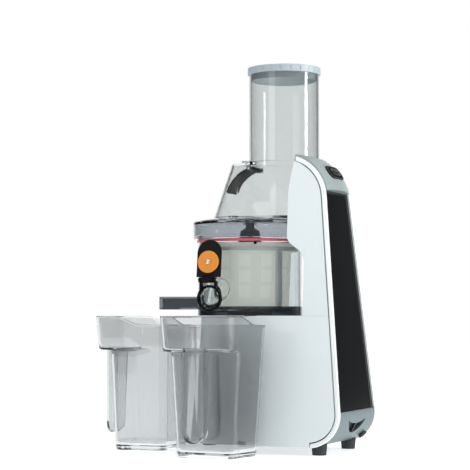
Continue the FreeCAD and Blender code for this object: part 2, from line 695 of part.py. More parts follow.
turned("bowl_hub_seal", [(BORE_RADIUS, shelf_height + gap), (HUB_SEAL_RADIUS - 0.05, shelf_height + gap),
                         (HUB_SEAL_RADIUS - 0.05, shelf_height + gap + BOWL_FLOOR),
                         (BORE_RADIUS + 3, shelf_height + gap + BOWL_FLOOR),
                         (BORE_RADIUS + 2, shelf_height + gap + 9), (BORE_RADIUS, shelf_height + gap + 9)])
turned("bowl_base_band", [(bowl_radius - 1.55, shelf_height + gap), (bowl_radius + 0.4, shelf_height + gap),
                          (bowl_radius + 0.4, shelf_height + band_height),
                          (bowl_radius - 1.55, shelf_height + band_height)])
turned("bowl_rim_seal", [(bowl_inner + 0.85, rim_seal_low + 0.05), (bowl_radius + 1.2, rim_seal_low + 0.05),
                         (bowl_radius + 1.2, bowl_top - 0.4), (bowl_inner + 0.85, bowl_top - 0.4)])

bowl_skin = Part.makeCylinder(float(bowl_radius) + 0.05, 120, vector(0, 0, 150))
duct = rod(duct_outer, duct_start, mouth_centre + duct_way * 20).cut(duct_hole).cut(bowl_skin)
duct = duct.cut(rod(60, ring_back, ring_back + juice_out * 60))
shaped("juice_duct", duct)
turned_rod("mouth_ring", mouth_radius, ring_back, juice_out, MOUTH_THICK, mouth_radius - 3.0)
reach = float(pulp_reach)
pulp_outer = box_between(vector(50, -pulp_half, PULP_LOW), vector(reach, pulp_half, PULP_HIGH))
pulp_inner = box_between(vector(40, -pulp_half + PULP_WALL, PULP_LOW + PULP_WALL),
                         vector(reach + 10, pulp_half - PULP_WALL, PULP_HIGH - PULP_WALL))
pulp_floor_cut = box_between(vector(reach - 24, -pulp_half + PULP_WALL, PULP_LOW - 5),
                             vector(reach - PULP_WALL, pulp_half - PULP_WALL, PULP_LOW + 5))
pulp_chute = turn_about_z(pulp_outer.cut(pulp_inner).cut(pulp_floor_cut), pulp_angle)
band_skin = Part.makeCylinder(float(bowl_radius) + 0.45, 120, vector(0, 0, 150))
shaped("pulp_chute", pulp_chute.cut(band_skin))

# Strainer, wiper and auger nest inside the bowl

STRAINER_LOW = bowl_low + BOWL_FLOOR + 2.5
STRAINER_HIGH = float(bowl_top) - 5.0
strainer_bottom = 45.0
strainer_top = 49.0
strainer = turned_shape([
    (strainer_bottom - 2, STRAINER_LOW), (strainer_bottom, STRAINER_LOW), (strainer_top, STRAINER_HIGH - 4),
    (bowl_inner - 1.2, STRAINER_HIGH - 4), (bowl_inner - 1.2, STRAINER_HIGH),
    (strainer_top - 2, STRAINER_HIGH),
    (strainer_top - 2, STRAINER_HIGH - 4)])
slots = []
for level in range(3):
    low = STRAINER_LOW + 14 + level * 18
    for index in range(12):
        slot = box_between(vector(35, -6.5, low), vector(60, 6.5, low + 14))
        slots.append(turn_about_z(slot, index * 30 + 15))
strainer = strainer.cut(Part.makeCompound(slots))
shaped("strainer_basket", strainer)

wiper_outer = bowl_inner - float(running_gap)
wiper_frame = ring(wiper_outer - 0.6, strainer_top + 1.2, STRAINER_HIGH - 9, STRAINER_HIGH - 4.6)
wiper_frame = wiper_frame.fuse(ring(wiper_outer - 3.5, strainer_bottom + 1.5, STRAINER_LOW - 1.5,
                                    STRAINER_LOW + 3))
blades = []
for index in range(3):
    bar = box_between(vector(strainer_top + 1.2, -3, STRAINER_LOW - 1.5),
                      vector(wiper_outer - 3.5, 3, STRAINER_HIGH - 6))
    wiper_frame = wiper_frame.fuse(turn_about_z(bar, 60 + index * 120))
    blade = box_between(vector(wiper_outer - 3.45, -1, STRAINER_LOW + 8),
                        vector(wiper_outer, 1, STRAINER_HIGH - 12))
    blades.append(turn_about_z(blade, 60 + index * 120))
shaped("wiper_frame", wiper_frame)
shaped("wiper_blades", Part.makeCompound(blades))

AUGER_LOW = bowl_low + 10.5
AUGER_HIGH = float(bowl_top) + float(collar_height) + 1.4
core_bottom = 26.0
core_top = 11.0
flight_reach = strainer_bottom - 3.0
core = turned_shape([(0, AUGER_LOW), (core_bottom, AUGER_LOW), (core_bottom, AUGER_LOW + 6),
                     (core_top, AUGER_HIGH - 12), (5, AUGER_HIGH - 8), (5, AUGER_HIGH), (0, AUGER_HIGH)])
socket = Part.Face(Part.makePolygon([vector(SHAFT_RADIUS * math.cos(math.radians(60 * step)),
                                            SHAFT_RADIUS * math.sin(math.radians(60 * step)), AUGER_LOW - 1)
                                     for step in range(7)])).extrude(vector(0, 0, SHAFT_TOP + 1 - AUGER_LOW))


def flight(start, turns, pitch, base_height):
    """One helical flight: a tapered rib swept round the core."""
    height = turns * pitch
    helix = Part.makeHelix(pitch, height, 12.0)
    rib = Part.makePolygon([vector(8, 0, -3.2), vector(flight_reach, 0, -1.2), vector(flight_reach, 0, 1.2),
                            vector(8, 0, 3.2), vector(8, 0, -3.2)])
    helix_wire = Part.Wire(helix.Edges)
    solid = helix_wire.makePipeShell([rib], True, True)
    solid.rotate(vector(0, 0, 0), vector(0, 0, 1), start)
    solid.translate(vector(0, 0, base_height))
    return solid


envelope = turned_shape([(0, AUGER_LOW), (flight_reach - 0.2, AUGER_LOW),
                         (flight_reach - 0.2, AUGER_LOW + 40),
                         (30, float(bowl_top) - 6), (16, AUGER_HIGH - 14), (0, AUGER_HIGH - 14)])
flights = [flight(0, 1.6, 44, AUGER_LOW + 4), flight(180, 1.6, 44, AUGER_LOW + 4)]
auger = core.multiFuse([piece.common(envelope) for piece in flights]).cut(socket)
shaped("auger", auger)

# Lid: collar, hopper and feed chute are clear; a grey ring caps the chute

collar_low = float(bowl_top)
collar_high = collar_low + float(collar_height)
lid = float(lid_wall)
hopper_low = collar_high + float(lid_rise)
big = float(chute_radius)


def hull_wire(front_radius, rear_radius, height):
    """Two arcs and the two lines that touch them: the hopper's outline at one height."""
    distance = float(chute_offset)
    tilt = math.asin((front_radius - rear_radius) / distance)
    cosine = math.cos(tilt)
    sine = math.sin(tilt)

    def spot(radius, centre, sign):
        return vector(sign * radius * cosine, centre + radius * sine, height)

    front_left = spot(front_radius, 0, -1)
    front_right = spot(front_radius, 0, 1)
    rear_left = spot(rear_radius, distance, -1)
    rear_right = spot(rear_radius, distance, 1)
    front = Part.Arc(front_left, vector(0, -front_radius, height), front_right).toShape()
    rear = Part.Arc(rear_right, vector(0, distance + rear_radius, height), rear_left).toShape()
    return Part.Wire([front, Part.makeLine(front_right, rear_right), rear,
                      Part.makeLine(rear_left, front_left)])


def hopper_block(inset, low, high):
    base = float(hopper_base_radius) - inset
    top = float(hopper_top_radius) - inset
    slope = (top - base) / (float(hopper_top) - hopper_low)
    low_radius = base + slope * (low - hopper_low)
    high_radius = base + slope * (high - hopper_low)
    return Part.makeLoft([hull_wire(low_radius, big - inset, low), hull_wire(high_radius, big - inset, high)],
                         True, True)


collar = turned_shape([
    (bowl_inner - 1.2, collar_low + float(gap)), (float(collar_radius) - 0.8, collar_low + float(gap)),
    (float(collar_radius), collar_low + 1.2), (float(collar_radius), collar_high - 1.5),
    (float(collar_radius) - 1.5, collar_high), (float(hopper_base_radius), hopper_low),
    (0, hopper_low), (0, hopper_low - lid), (float(hopper_base_radius), hopper_low - lid),
    (float(collar_radius) - 4.5, collar_high - lid), (float(collar_radius) - lid, collar_high - lid - 1.2),
    (float(collar_radius) - lid, collar_low + 4.0), (bowl_inner - 1.2, collar_low + 4.0)])
overhang = hopper_block(0, hopper_low - lid, hopper_low)
collar = collar.fuse(overhang)
mouth_plan = hopper_block(lid, hopper_low - 30, hopper_low + 5).common(
    Part.makeCylinder(float(collar_radius) - lid - 6, 60, vector(0, 0, hopper_low - 30)))
throat_room = box_between(vector(-90, -90, hopper_low - 12), vector(90, 90, hopper_low + 9))
collar = collar.cut(mouth_plan.common(throat_room))
bridge = Part.makeCylinder(8, 9, vector(0, 0, hopper_low - lid - 5.5))
bridge = bridge.fuse(box_between(vector(-55, -4, hopper_low - lid), vector(55, 4, hopper_low)))
bridge = bridge.cut(Part.makeCylinder(5.4, 20, vector(0, 0, AUGER_HIGH - 18)))
bridge = bridge.common(Part.makeCylinder(float(collar_radius) - lid - 5, 60, vector(0, 0, hopper_low - 30)))
collar = collar.fuse(bridge).removeSplitter()
shaped("lid_collar", collar)

hopper = hopper_block(0, hopper_low, float(hopper_top))
hopper = hopper.cut(hopper_block(lid, hopper_low - 1, float(hopper_top) - lid))
chute_inner = big - lid
hopper = hopper.cut(Part.makeCylinder(chute_inner, 40, vector(0, chute_offset, float(hopper_top) - lid)))
shaped("hopper_dome", hopper)
turned("feed_chute", [(chute_radius - lid_wall, hopper_top), (chute_radius, hopper_top),
                      (chute_radius, chute_top), (chute_radius - lid_wall, chute_top)])
nodes[-1].setExpression("Placement.Base.y", "sizes.chute_offset")
RIM_TOP = float(chute_top) + float(ring_height)
ring_solid = Part.makeCylinder(big + 1.6, float(ring_height), vector(0, chute_offset, chute_top))
plug = Part.makeCylinder(chute_inner - 0.15, 7.0, vector(0, chute_offset, float(chute_top) - 7.0))
ring_solid = ring_solid.fuse(plug)
ring_solid = ring_solid.cut(Part.makeCone(chute_inner - 2.6, chute_inner - 1.0, float(ring_height) + 10,
                                          vector(0, chute_offset, float(chute_top) - 8.0)))
ribs = []
for index in range(24):
    groove = box_between(vector(big + 0.9, -1.6, float(chute_top) + 1.6), vector(big + 4, 1.6, RIM_TOP - 1.8))
    groove = turn_about_z(groove, index * 15)
    groove.translate(vector(0, chute_offset, 0))
    ribs.append(groove)
ring_solid = ring_solid.cut(Part.makeCompound(ribs))
shaped("chute_ring", ring_solid)

# Gate flap: a curved plate that hangs from a pin at the chute's front edge

HINGE_DEPTH = float(chute_offset) - float(chute_radius)
HINGE_HEIGHT = float(hopper_top) + 4.0
FLAP_HALF = 15.5
FLAP_LENGTH = 40.0
flap_angle = math.radians(46)
hinge_box = box_between(vector(-12, HINGE_DEPTH - 7.5, float(hopper_top)),
                        vector(12, HINGE_DEPTH + 2.2, float(hopper_top) + 3.2))
hinge_box = hinge_box.cut(Part.makeCylinder(big + 0.05, 60, vector(0, chute_offset, float(hopper_top) - 5)))
shaped("hinge_box", hinge_box)
pin_depth = HINGE_DEPTH + 4.3
pin_height = float(hopper_top) - lid - 3.4
pin_start = vector(-FLAP_HALF - 2.6, pin_depth, pin_height)
pin_end = vector(FLAP_HALF + 2.6, pin_depth, pin_height)
turned_rod("gate_pin", 1.5, pin_start, vector(1, 0, 0), 2 * FLAP_HALF + 5.2)
flap_way = vector(0, -math.sin(flap_angle), -math.cos(flap_angle))
flap_side = vector(0, -math.cos(flap_angle), math.sin(flap_angle))
flap_start = vector(0, pin_depth, pin_height)
flap_tip = flap_start + flap_way * FLAP_LENGTH
sag = 5.0
flap_middle = flap_start + flap_way * (FLAP_LENGTH / 2)
outer_arc = Part.Arc(flap_start + flap_side * 1.1, flap_middle + flap_side * (sag + 1.1),
                     flap_tip + flap_side * 1.1).toShape()
inner_arc = Part.Arc(flap_tip - flap_side * 1.1, flap_middle + flap_side * (sag - 1.1),
                     flap_start - flap_side * 1.1).toShape()
tip_edge = Part.makeLine(flap_tip + flap_side * 1.1, flap_tip - flap_side * 1.1)
start_edge = Part.makeLine(flap_start - flap_side * 1.1, flap_start + flap_side * 1.1)
flap_face = Part.Face(Part.Wire([outer_arc, tip_edge, inner_arc, start_edge]))
flap_face.translate(vector(-FLAP_HALF, 0, 0))
flap = flap_face.extrude(vector(2 * FLAP_HALF, 0, 0))
knuckle = rod(3.0, vector(-FLAP_HALF, pin_depth, pin_height), vector(FLAP_HALF, pin_depth, pin_height))
flap = flap.fuse(knuckle).cut(rod(1.55, pin_start - vector(5, 0, 0), pin_end + vector(5, 0, 0)))
shaped("gate_flap", flap)
ear = box_between(vector(FLAP_HALF + 0.5, pin_depth - 2.6, pin_height - 2.6),
                  vector(FLAP_HALF + 2.6, pin_depth + 2.6, float(hopper_top) - lid))
ears = [ear, ear.mirror(vector(0, 0, 0), vector(1, 0, 0))]
shaped("gate_ears", Part.makeCompound([piece.cut(rod(1.5, pin_start, pin_end)) for piece in ears]))

# Drip cap: a rounded plate on a pin above the spout's mouth, shown flipped open

SEAL_THICK = 2.6
SEAL_BACK = -0.75
DISC_DROP = 20.5
seal_face = SEAL_BACK + SEAL_THICK
cap_hinge_reach = float(mouth_reach) + float(gap) + seal_face
cap_hinge_height = float(mouth_height) + DISC_DROP
CAP_LENGTH = 46.0
CAP_WIDTH = 30.0
hinge_spot = juice_out * cap_hinge_reach + mouth_aside + vector(0, 0, cap_hinge_height)
open_way = vector(0, 0, 1) * math.cos(math.radians(6)) - juice_out * math.sin(math.radians(6))
face_way = side_way.cross(open_way)
if face_way.dot(juice_out) < 0:
    face_way = face_way * -1
turned_rod("drip_cap_pin", 1.5, hinge_spot - side_way * 12, side_way, 24)


def plate(half, start, length, thickness, back):
    """A plate with a round end, standing up from the hinge line."""
    base = hinge_spot + face_way * back
    corners = [base - side_way * half + open_way * start, base + side_way * half + open_way * start,
               base + side_way * half + open_way * (length - half)]
    tip = base + open_way * length
    left = base - side_way * half + open_way * (length - half)
    edges = [Part.makeLine(corners[0], corners[1]), Part.makeLine(corners[1], corners[2]),
             Part.Arc(corners[2], tip, left).toShape(), Part.makeLine(left, corners[0])]
    return Part.Face(Part.Wire(edges)).extrude(face_way * thickness)


cap_plate = plate(CAP_WIDTH / 2, 3.5, CAP_LENGTH, 2.4, -3.2)
cap_knuckle = rod(3.0, hinge_spot - side_way * 7, hinge_spot + side_way * 7)
arm = Part.Face(Part.makePolygon([hinge_spot - side_way * 7 - face_way * 2.9,
                                  hinge_spot + side_way * 7 - face_way * 2.9,
                                  hinge_spot + side_way * 7 - face_way * 2.9 + open_way * 8,
                                  hinge_spot - side_way * 7 - face_way * 2.9 + open_way * 8,
                                  hinge_spot - side_way * 7 - face_way * 2.9])).extrude(face_way * 2.0)
drip_cap = cap_plate.multiFuse([cap_knuckle, arm]).cut(rod(1.55, hinge_spot - side_way * 30,
                                                           hinge_spot + side_way * 30))
shaped("drip_cap", drip_cap)
disc_spot = hinge_spot + open_way * DISC_DROP + face_way * SEAL_BACK
DISC_RADIUS = 12.6
turned_rod("drip_cap_seal", DISC_RADIUS, disc_spot, face_way, SEAL_THICK, 2.05)
turned("drip_cap_stud", [(0, 0), (2.0, 0), (2.0, SEAL_THICK + 0.05), (3.2, SEAL_THICK + 0.05),
                         (2.4, SEAL_THICK + 1.2), (0, SEAL_THICK + 1.4)])
stand(nodes[-1], disc_spot, face_way)
LUG_INNER = 7.6
LUG_THICK = 3.0
LUG_EYE = 3.0
lugs = []
for sign in (-1, 1):
    eye = hinge_spot + side_way * (sign * LUG_INNER)
    along = side_way * (sign * LUG_THICK)
    foot_front = eye - vector(0, 0, 14)
    web = Part.makePolygon([eye - juice_out * LUG_EYE, eye, foot_front, foot_front - juice_out * 6,
                            eye - juice_out * LUG_EYE])
    lug = Part.Face(web).extrude(along).fuse(rod(LUG_EYE, eye, eye + along))
    lug = lug.cut(rod(1.5, hinge_spot - side_way * 14, hinge_spot + side_way * 14))
    lug = lug.cut(rod(float(mouth_radius) + 0.02, ring_back - juice_out * 4, mouth_centre + juice_out * 4))
    lugs.append(lug.cut(rod(duct_outer + 0.02, duct_start, mouth_centre)).Solids[0])
shaped("drip_cap_lugs", Part.makeCompound(lugs))

# Jugs: a rounded rectangular cup whose rim steps down at the back, with a hanging handle

JUG_BASE_LONG = 33.0
JUG_BASE_WIDE = 37.0
JUG_CORNER = 14.0
JUG_LEDGE_FRONT = 36.0
JUG_SHOULDER_FRONT = 51.5
JUG_TOP_FRONT = 54.0
JUG_TOP_BACK = -38.0
JUG_TOP_WIDE = 46.0
JUG_FLOOR = 6.0
LEDGE_HEIGHT = 115.0
RIM_DIP = 10.0
HANDLE_WIDE = 29.0
HANDLE_FRONT = JUG_SHOULDER_FRONT - 0.6
HANDLE_TOP_DEEP = 12.6
HANDLE_LOW_DEEP = 9.0
HANDLE_LOW = 17.0


def rounded_rectangle(low_u, high_u, half_v, corner, height):
    """A rounded rectangle in plan, u along the handle's direction."""
    low_v = -half_v
    high_v = half_v
    step = corner * (1 - math.sqrt(0.5))
    edges = []
    spots = [
        ((low_u + corner, low_v), (high_u - corner, low_v),
         (high_u - step, low_v + step), (high_u, low_v + corner)),
        ((high_u, low_v + corner), (high_u, high_v - corner),
         (high_u - step, high_v - step), (high_u - corner, high_v)),
        ((high_u - corner, high_v), (low_u + corner, high_v),
         (low_u + step, high_v - step), (low_u, high_v - corner)),
        ((low_u, high_v - corner), (low_u, low_v + corner),
         (low_u + step, low_v + step), (low_u + corner, low_v)),
    ]
    for start, turn_start, middle, end in spots:
        edges.append(Part.makeLine(vector(*start, height), vector(*turn_start, height)))
        arc = Part.Arc(vector(*turn_start, height), vector(*middle, height), vector(*end, height))
        edges.append(arc.toShape())
    return Part.Wire(edges)


def jug_section(inset, height, front):
    """The jug's plan at one height; front is its reach on the handle's side."""
    share = height / float(jug_height)
    back = -JUG_BASE_LONG + (JUG_TOP_BACK + JUG_BASE_LONG) * share + inset
    wide = JUG_BASE_WIDE + (JUG_TOP_WIDE - JUG_BASE_WIDE) * share - inset
    return rounded_rectangle(back, front - inset, wide, JUG_CORNER - inset, height)


def jug_blocks(inset, low, ledge, high):
    """The narrow lower body and the wider part above the ledge."""
    lower = Part.makeLoft([jug_section(inset, low, JUG_BASE_LONG),
                           jug_section(inset, ledge + 8, JUG_LEDGE_FRONT)], True, True)
    upper = Part.makeLoft([jug_section(inset, ledge, JUG_SHOULDER_FRONT),
                           jug_section(inset, high, JUG_TOP_FRONT)], True, True)
    return lower.fuse(upper)


def jug_shape():
    thick = float(jug_wall)
    top = float(jug_height)
    body = jug_blocks(0, 0, LEDGE_HEIGHT, top)
    jug = body.cut(jug_blocks(thick, JUG_FLOOR, LEDGE_HEIGHT + thick, top + 5))
    dip_start = JUG_TOP_BACK + 0.38 * (JUG_TOP_FRONT - JUG_TOP_BACK)
    dip_end = JUG_TOP_BACK + 0.61 * (JUG_TOP_FRONT - JUG_TOP_BACK)
    curve = Part.BezierCurve()
    middle = (dip_start + dip_end) / 2
    curve.setPoles([vector(dip_start, -80, top - RIM_DIP), vector(middle, -80, top - RIM_DIP),
                    vector(middle, -80, top), vector(dip_end, -80, top)])
    edges = [curve.toShape(), Part.makeLine(vector(dip_end, -80, top), vector(dip_end, -80, top + 10)),
             Part.makeLine(vector(dip_end, -80, top + 10), vector(JUG_TOP_BACK - 20, -80, top + 10)),
             Part.makeLine(vector(JUG_TOP_BACK - 20, -80, top + 10),
                           vector(JUG_TOP_BACK - 20, -80, top - RIM_DIP)),
             Part.makeLine(vector(JUG_TOP_BACK - 20, -80, top - RIM_DIP),
                           vector(dip_start, -80, top - RIM_DIP))]
    jug = jug.cut(Part.Face(Part.Wire(edges)).extrude(vector(0, 160, 0)))
    return jug.removeSplitter()


def tongue(start, reach, inset):
    """The handle seen from the front: straight sides and a half round lower end."""
    half = HANDLE_WIDE / 2 - inset
    middle = HANDLE_LOW + HANDLE_WIDE / 2
    top = LEDGE_HEIGHT + inset
    low_left = vector(start, -half, middle)
    low_right = vector(start, half, middle)
    edges = [Part.makeLine(vector(start, -half, top), low_left),
             Part.Arc(low_left, vector(start, 0, middle - half), low_right).toShape(),
             Part.makeLine(low_right, vector(start, half, top)),
             Part.makeLine(vector(start, half, top), vector(start, -half, top))]
    return Part.Face(Part.Wire(edges)).extrude(vector(reach, 0, 0))


def handle_shape():
    """A channel that hangs from the ledge, its flanges tapering towards the round end."""
    thick = float(jug_wall)
    side = Part.makePolygon([vector(HANDLE_FRONT, -30, LEDGE_HEIGHT), vector(HANDLE_FRONT, -30, HANDLE_LOW),
                             vector(HANDLE_FRONT - HANDLE_LOW_DEEP, -30, HANDLE_LOW + 6),
                             vector(HANDLE_FRONT - HANDLE_TOP_DEEP, -30, LEDGE_HEIGHT),
                             vector(HANDLE_FRONT, -30, LEDGE_HEIGHT)])
    channel = tongue(HANDLE_FRONT - 20, 20, 0).common(Part.Face(side).extrude(vector(0, 60, 0)))
    return channel.cut(tongue(HANDLE_FRONT - 20 - thick, 20, thick))


JUICE_JUG_REACH = float(base_half_width) + 38.0
JUICE_JUG_SIDE = 20.0
jug_turn = math.radians(float(jug_angle))
jug_out = vector(math.cos(jug_turn), math.sin(jug_turn), 0)
jug_aside = vector(-jug_out.y, jug_out.x, 0)
juice_jug_spot = jug_out * JUICE_JUG_REACH + jug_aside * JUICE_JUG_SIDE
PULP_JUG_SPOT = vector(34, -float(base_half_width) - 41.0, 0)
jug = jug_shape()
handle = handle_shape()
for label, degrees, spot in (
        ("pulp_jug", -90, PULP_JUG_SPOT), ("juice_jug", float(jug_angle), juice_jug_spot)):
    for part_label, shape in ((label, jug), (f"{label}_handle", handle)):
        placed = turn_about_z(shape, degrees)
        placed.translate(spot)
        shaped(part_label, placed)

# Check everything, then write one file for each node

doc.recompute()
for item in doc.Objects:
    if "Invalid" in item.State or "Error" in item.State:
        raise RuntimeError(f"{item.Label} did not build: {item.State}")
os.makedirs("parts", exist_ok=True)
for feature in nodes:
    if feature.Shape.isNull() or not feature.Shape.isValid():
        raise RuntimeError(f"{feature.Label} has no valid shape")
for feature in nodes:
    feature.Shape.exportStep(f"parts/{feature.Label}.step")
    box = feature.Shape.BoundBox
    print(f"{feature.Label:22s} solids {len(feature.Shape.Solids)} volume {feature.Shape.Volume:10.1f} "
          f"x {box.XMin:7.1f} {box.XMax:7.1f} y {box.YMin:7.1f} {box.YMax:7.1f} "
          f"z {box.ZMin:6.1f} {box.ZMax:6.1f}")
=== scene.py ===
import json
import math

import bmesh
import bpy
from mathutils import Matrix, Vector


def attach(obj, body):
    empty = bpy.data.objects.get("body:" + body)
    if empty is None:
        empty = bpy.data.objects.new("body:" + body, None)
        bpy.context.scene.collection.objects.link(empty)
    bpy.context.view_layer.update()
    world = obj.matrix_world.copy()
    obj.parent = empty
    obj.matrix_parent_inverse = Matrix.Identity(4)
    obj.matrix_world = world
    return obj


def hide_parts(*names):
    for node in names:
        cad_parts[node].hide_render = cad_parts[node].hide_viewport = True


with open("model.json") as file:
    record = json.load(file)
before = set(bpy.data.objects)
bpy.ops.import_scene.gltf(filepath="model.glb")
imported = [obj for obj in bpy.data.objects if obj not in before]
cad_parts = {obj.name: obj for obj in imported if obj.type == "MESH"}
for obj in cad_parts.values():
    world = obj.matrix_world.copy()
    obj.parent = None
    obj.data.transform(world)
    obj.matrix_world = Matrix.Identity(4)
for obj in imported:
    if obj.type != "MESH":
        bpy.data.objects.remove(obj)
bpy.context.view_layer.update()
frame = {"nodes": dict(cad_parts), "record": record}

# The stage: a wide pale floor, a soft key light from the right, a fill from the left, one from above
# and behind, and a narrow strip whose tall reflection stands on the clear walls. The sky is darker
# round the sides, which gives clear walls the dark lines that a studio's open sides give them.
MM = 0.001
BOWL_DEPTH = 1.924
SHELF_LEVEL = 0.154
VIEW_AZIMUTH = math.radians(112)
AXIS_PIXEL = 250.0
HORIZON_PIXEL = 316.0
FRAME_PIXELS = 470.0
FOCAL_PIXELS = 1650.0
SENSOR = 36.0

away = Vector((-math.sin(VIEW_AZIMUTH), math.cos(VIEW_AZIMUTH), 0))
across = Vector((math.cos(VIEW_AZIMUTH), math.sin(VIEW_AZIMUTH), 0))
eye = Vector((0, 0, SHELF_LEVEL)) - away * BOWL_DEPTH
middle = FRAME_PIXELS / 2
aim = Vector((0, 0, SHELF_LEVEL))
aim += across * (middle - AXIS_PIXEL) / FOCAL_PIXELS * BOWL_DEPTH
aim += Vector((0, 0, 1)) * (HORIZON_PIXEL - middle) / FOCAL_PIXELS * BOWL_DEPTH
camera = bpy.data.objects.new("camera", bpy.data.cameras.new("camera"))
bpy.context.scene.collection.objects.link(camera)
camera.data.sensor_width = SENSOR
camera.data.lens = FOCAL_PIXELS / FRAME_PIXELS * SENSOR
camera.data.clip_end = 50
camera.location = eye
camera.rotation_euler = (aim - eye).to_track_quat("-Z", "Y").to_euler()
bpy.context.scene.camera = camera

FLOOR_HALF = 6.0
floor_form = bmesh.new()
bmesh.ops.create_grid(floor_form, x_segments=1, y_segments=1, size=FLOOR_HALF)
floor_mesh = bpy.data.meshes.new("floor")
floor_form.to_mesh(floor_mesh)
floor = bpy.data.objects.new("floor", floor_mesh)
bpy.context.scene.collection.objects.link(floor)
floor_material = bpy.data.materials.new("floor_pale")
floor_material.use_nodes = True
floor_shader = floor_material.node_tree.nodes["Principled BSDF"]
floor_shader.inputs["Base Color"].default_value = (0.60, 0.64, 0.65, 1)
floor_shader.inputs["Roughness"].default_value = 0.5
floor_shader.inputs["Specular IOR Level"].default_value = 0.25
floor_shader.inputs["Emission Color"].default_value = (1, 1, 1, 1)
floor_shader.inputs["Emission Strength"].default_value = 0.66
floor_mesh.materials.append(floor_material)

# Each lamp: azimuth in degrees, height and reach, width and height of its face, watts, and the share
# of its light that matt surfaces take.
LAMPS = (("key", 140, 1.3, 1.9, 0.9, 0.9, 6.0, 1.0), ("fill", 70, 0.8, 2.0, 0.8, 0.8, 3.0, 1.0),
         ("top", 290, 2.2, 0.6, 1.2, 1.2, 5.0, 1.0), ("strip", 187, 0.35, 1.5, 0.20, 0.9, 14.0, 0.05))
LAMP_AIM = Vector((0, 0, 0.2))
for name, azimuth, height, reach, wide, tall, power, matt_share in LAMPS:
    data = bpy.data.lights.new(name, "AREA")
    data.energy = power
    data.shape = "RECTANGLE"
    data.size = wide
    data.size_y = tall
    data.diffuse_factor = matt_share
    lamp = bpy.data.objects.new(name, data)
    bpy.context.scene.collection.objects.link(lamp)
    turn = math.radians(azimuth)
    lamp.location = (math.sin(turn) * reach, -math.cos(turn) * reach, height)
    lamp.rotation_euler = (LAMP_AIM - lamp.location).to_track_quat("-Z", "Y").to_euler()

bpy.context.scene.view_settings.view_transform = "Standard"
world = bpy.data.worlds.new("studio")
bpy.context.scene.world = world
world.use_nodes = True
sky = world.node_tree
sky_place = sky.nodes.new("ShaderNodeTexCoord")
behind = sky.nodes.new("ShaderNodeVectorMath")
behind.operation = "DOT_PRODUCT"
behind.inputs[1].default_value = away
round_about = sky.nodes.new("ShaderNodeMapRange")
round_about.inputs["From Min"].default_value = -1
sides = sky.nodes.new("ShaderNodeValToRGB")
SKY_LEVELS = ((0.0, 0.50), (0.30, 0.34), (0.52, 0.10), (0.86, 0.05), (0.93, 0.35), (0.965, 1.0))
for position, level in SKY_LEVELS:
    stop = sides.color_ramp.elements.new(position)
    stop.color = (level * 0.97, level * 0.99, level, 1)
sides.color_ramp.elements.remove(sides.color_ramp.elements[0])
sides.color_ramp.elements[-1].color = (1, 1, 1, 1)
height_split = sky.nodes.new("ShaderNodeSeparateXYZ")
overhead = sky.nodes.new("ShaderNodeMapRange")
overhead.inputs["From Min"].default_value = 0.35
overhead.inputs["From Max"].default_value = 0.75
lifted = sky.nodes.new("ShaderNodeMix")
lifted.data_type = "RGBA"
lifted.inputs["B"].default_value = (1, 1, 1, 1)
seen = sky.nodes.new("ShaderNodeLightPath")
backdrop = sky.nodes.new("ShaderNodeMix")
backdrop.data_type = "RGBA"
backdrop.inputs["B"].default_value = (1, 1, 1, 1)
sky.links.new(sky_place.outputs["Generated"], behind.inputs[0])
sky.links.new(behind.outputs["Value"], round_about.inputs["Value"])
sky.links.new(round_about.outputs["Result"], sides.inputs["Fac"])
sky.links.new(sky_place.outputs["Generated"], height_split.inputs[0])
sky.links.new(height_split.outputs["Z"], overhead.inputs["Value"])
sky.links.new(overhead.outputs["Result"], lifted.inputs["Factor"])
sky.links.new(sides.outputs["Color"], lifted.inputs["A"])
sky.links.new(seen.outputs["Is Camera Ray"], backdrop.inputs["Factor"])
sky.links.new(lifted.outputs["Result"], backdrop.inputs["A"])
sky.links.new(backdrop.outputs["Result"], sky.nodes["Background"].inputs["Color"])
sky.nodes["Background"].inputs["Strength"].default_value = 1.0

# The housing: two white ABS mouldings, the low base under the bowl and the tower behind it, which
# meet in a fine seam at the shelf's level. The sides are flat and lean inwards, polished to a soft
# gloss, with edges rounded as a mould leaves them.
CLOUD_SCALE = 14.0
GRAIN_DEPTH = 0.0004
CLEAN_EDGE = math.radians(0.6)
SAME_POINT = 2e-6


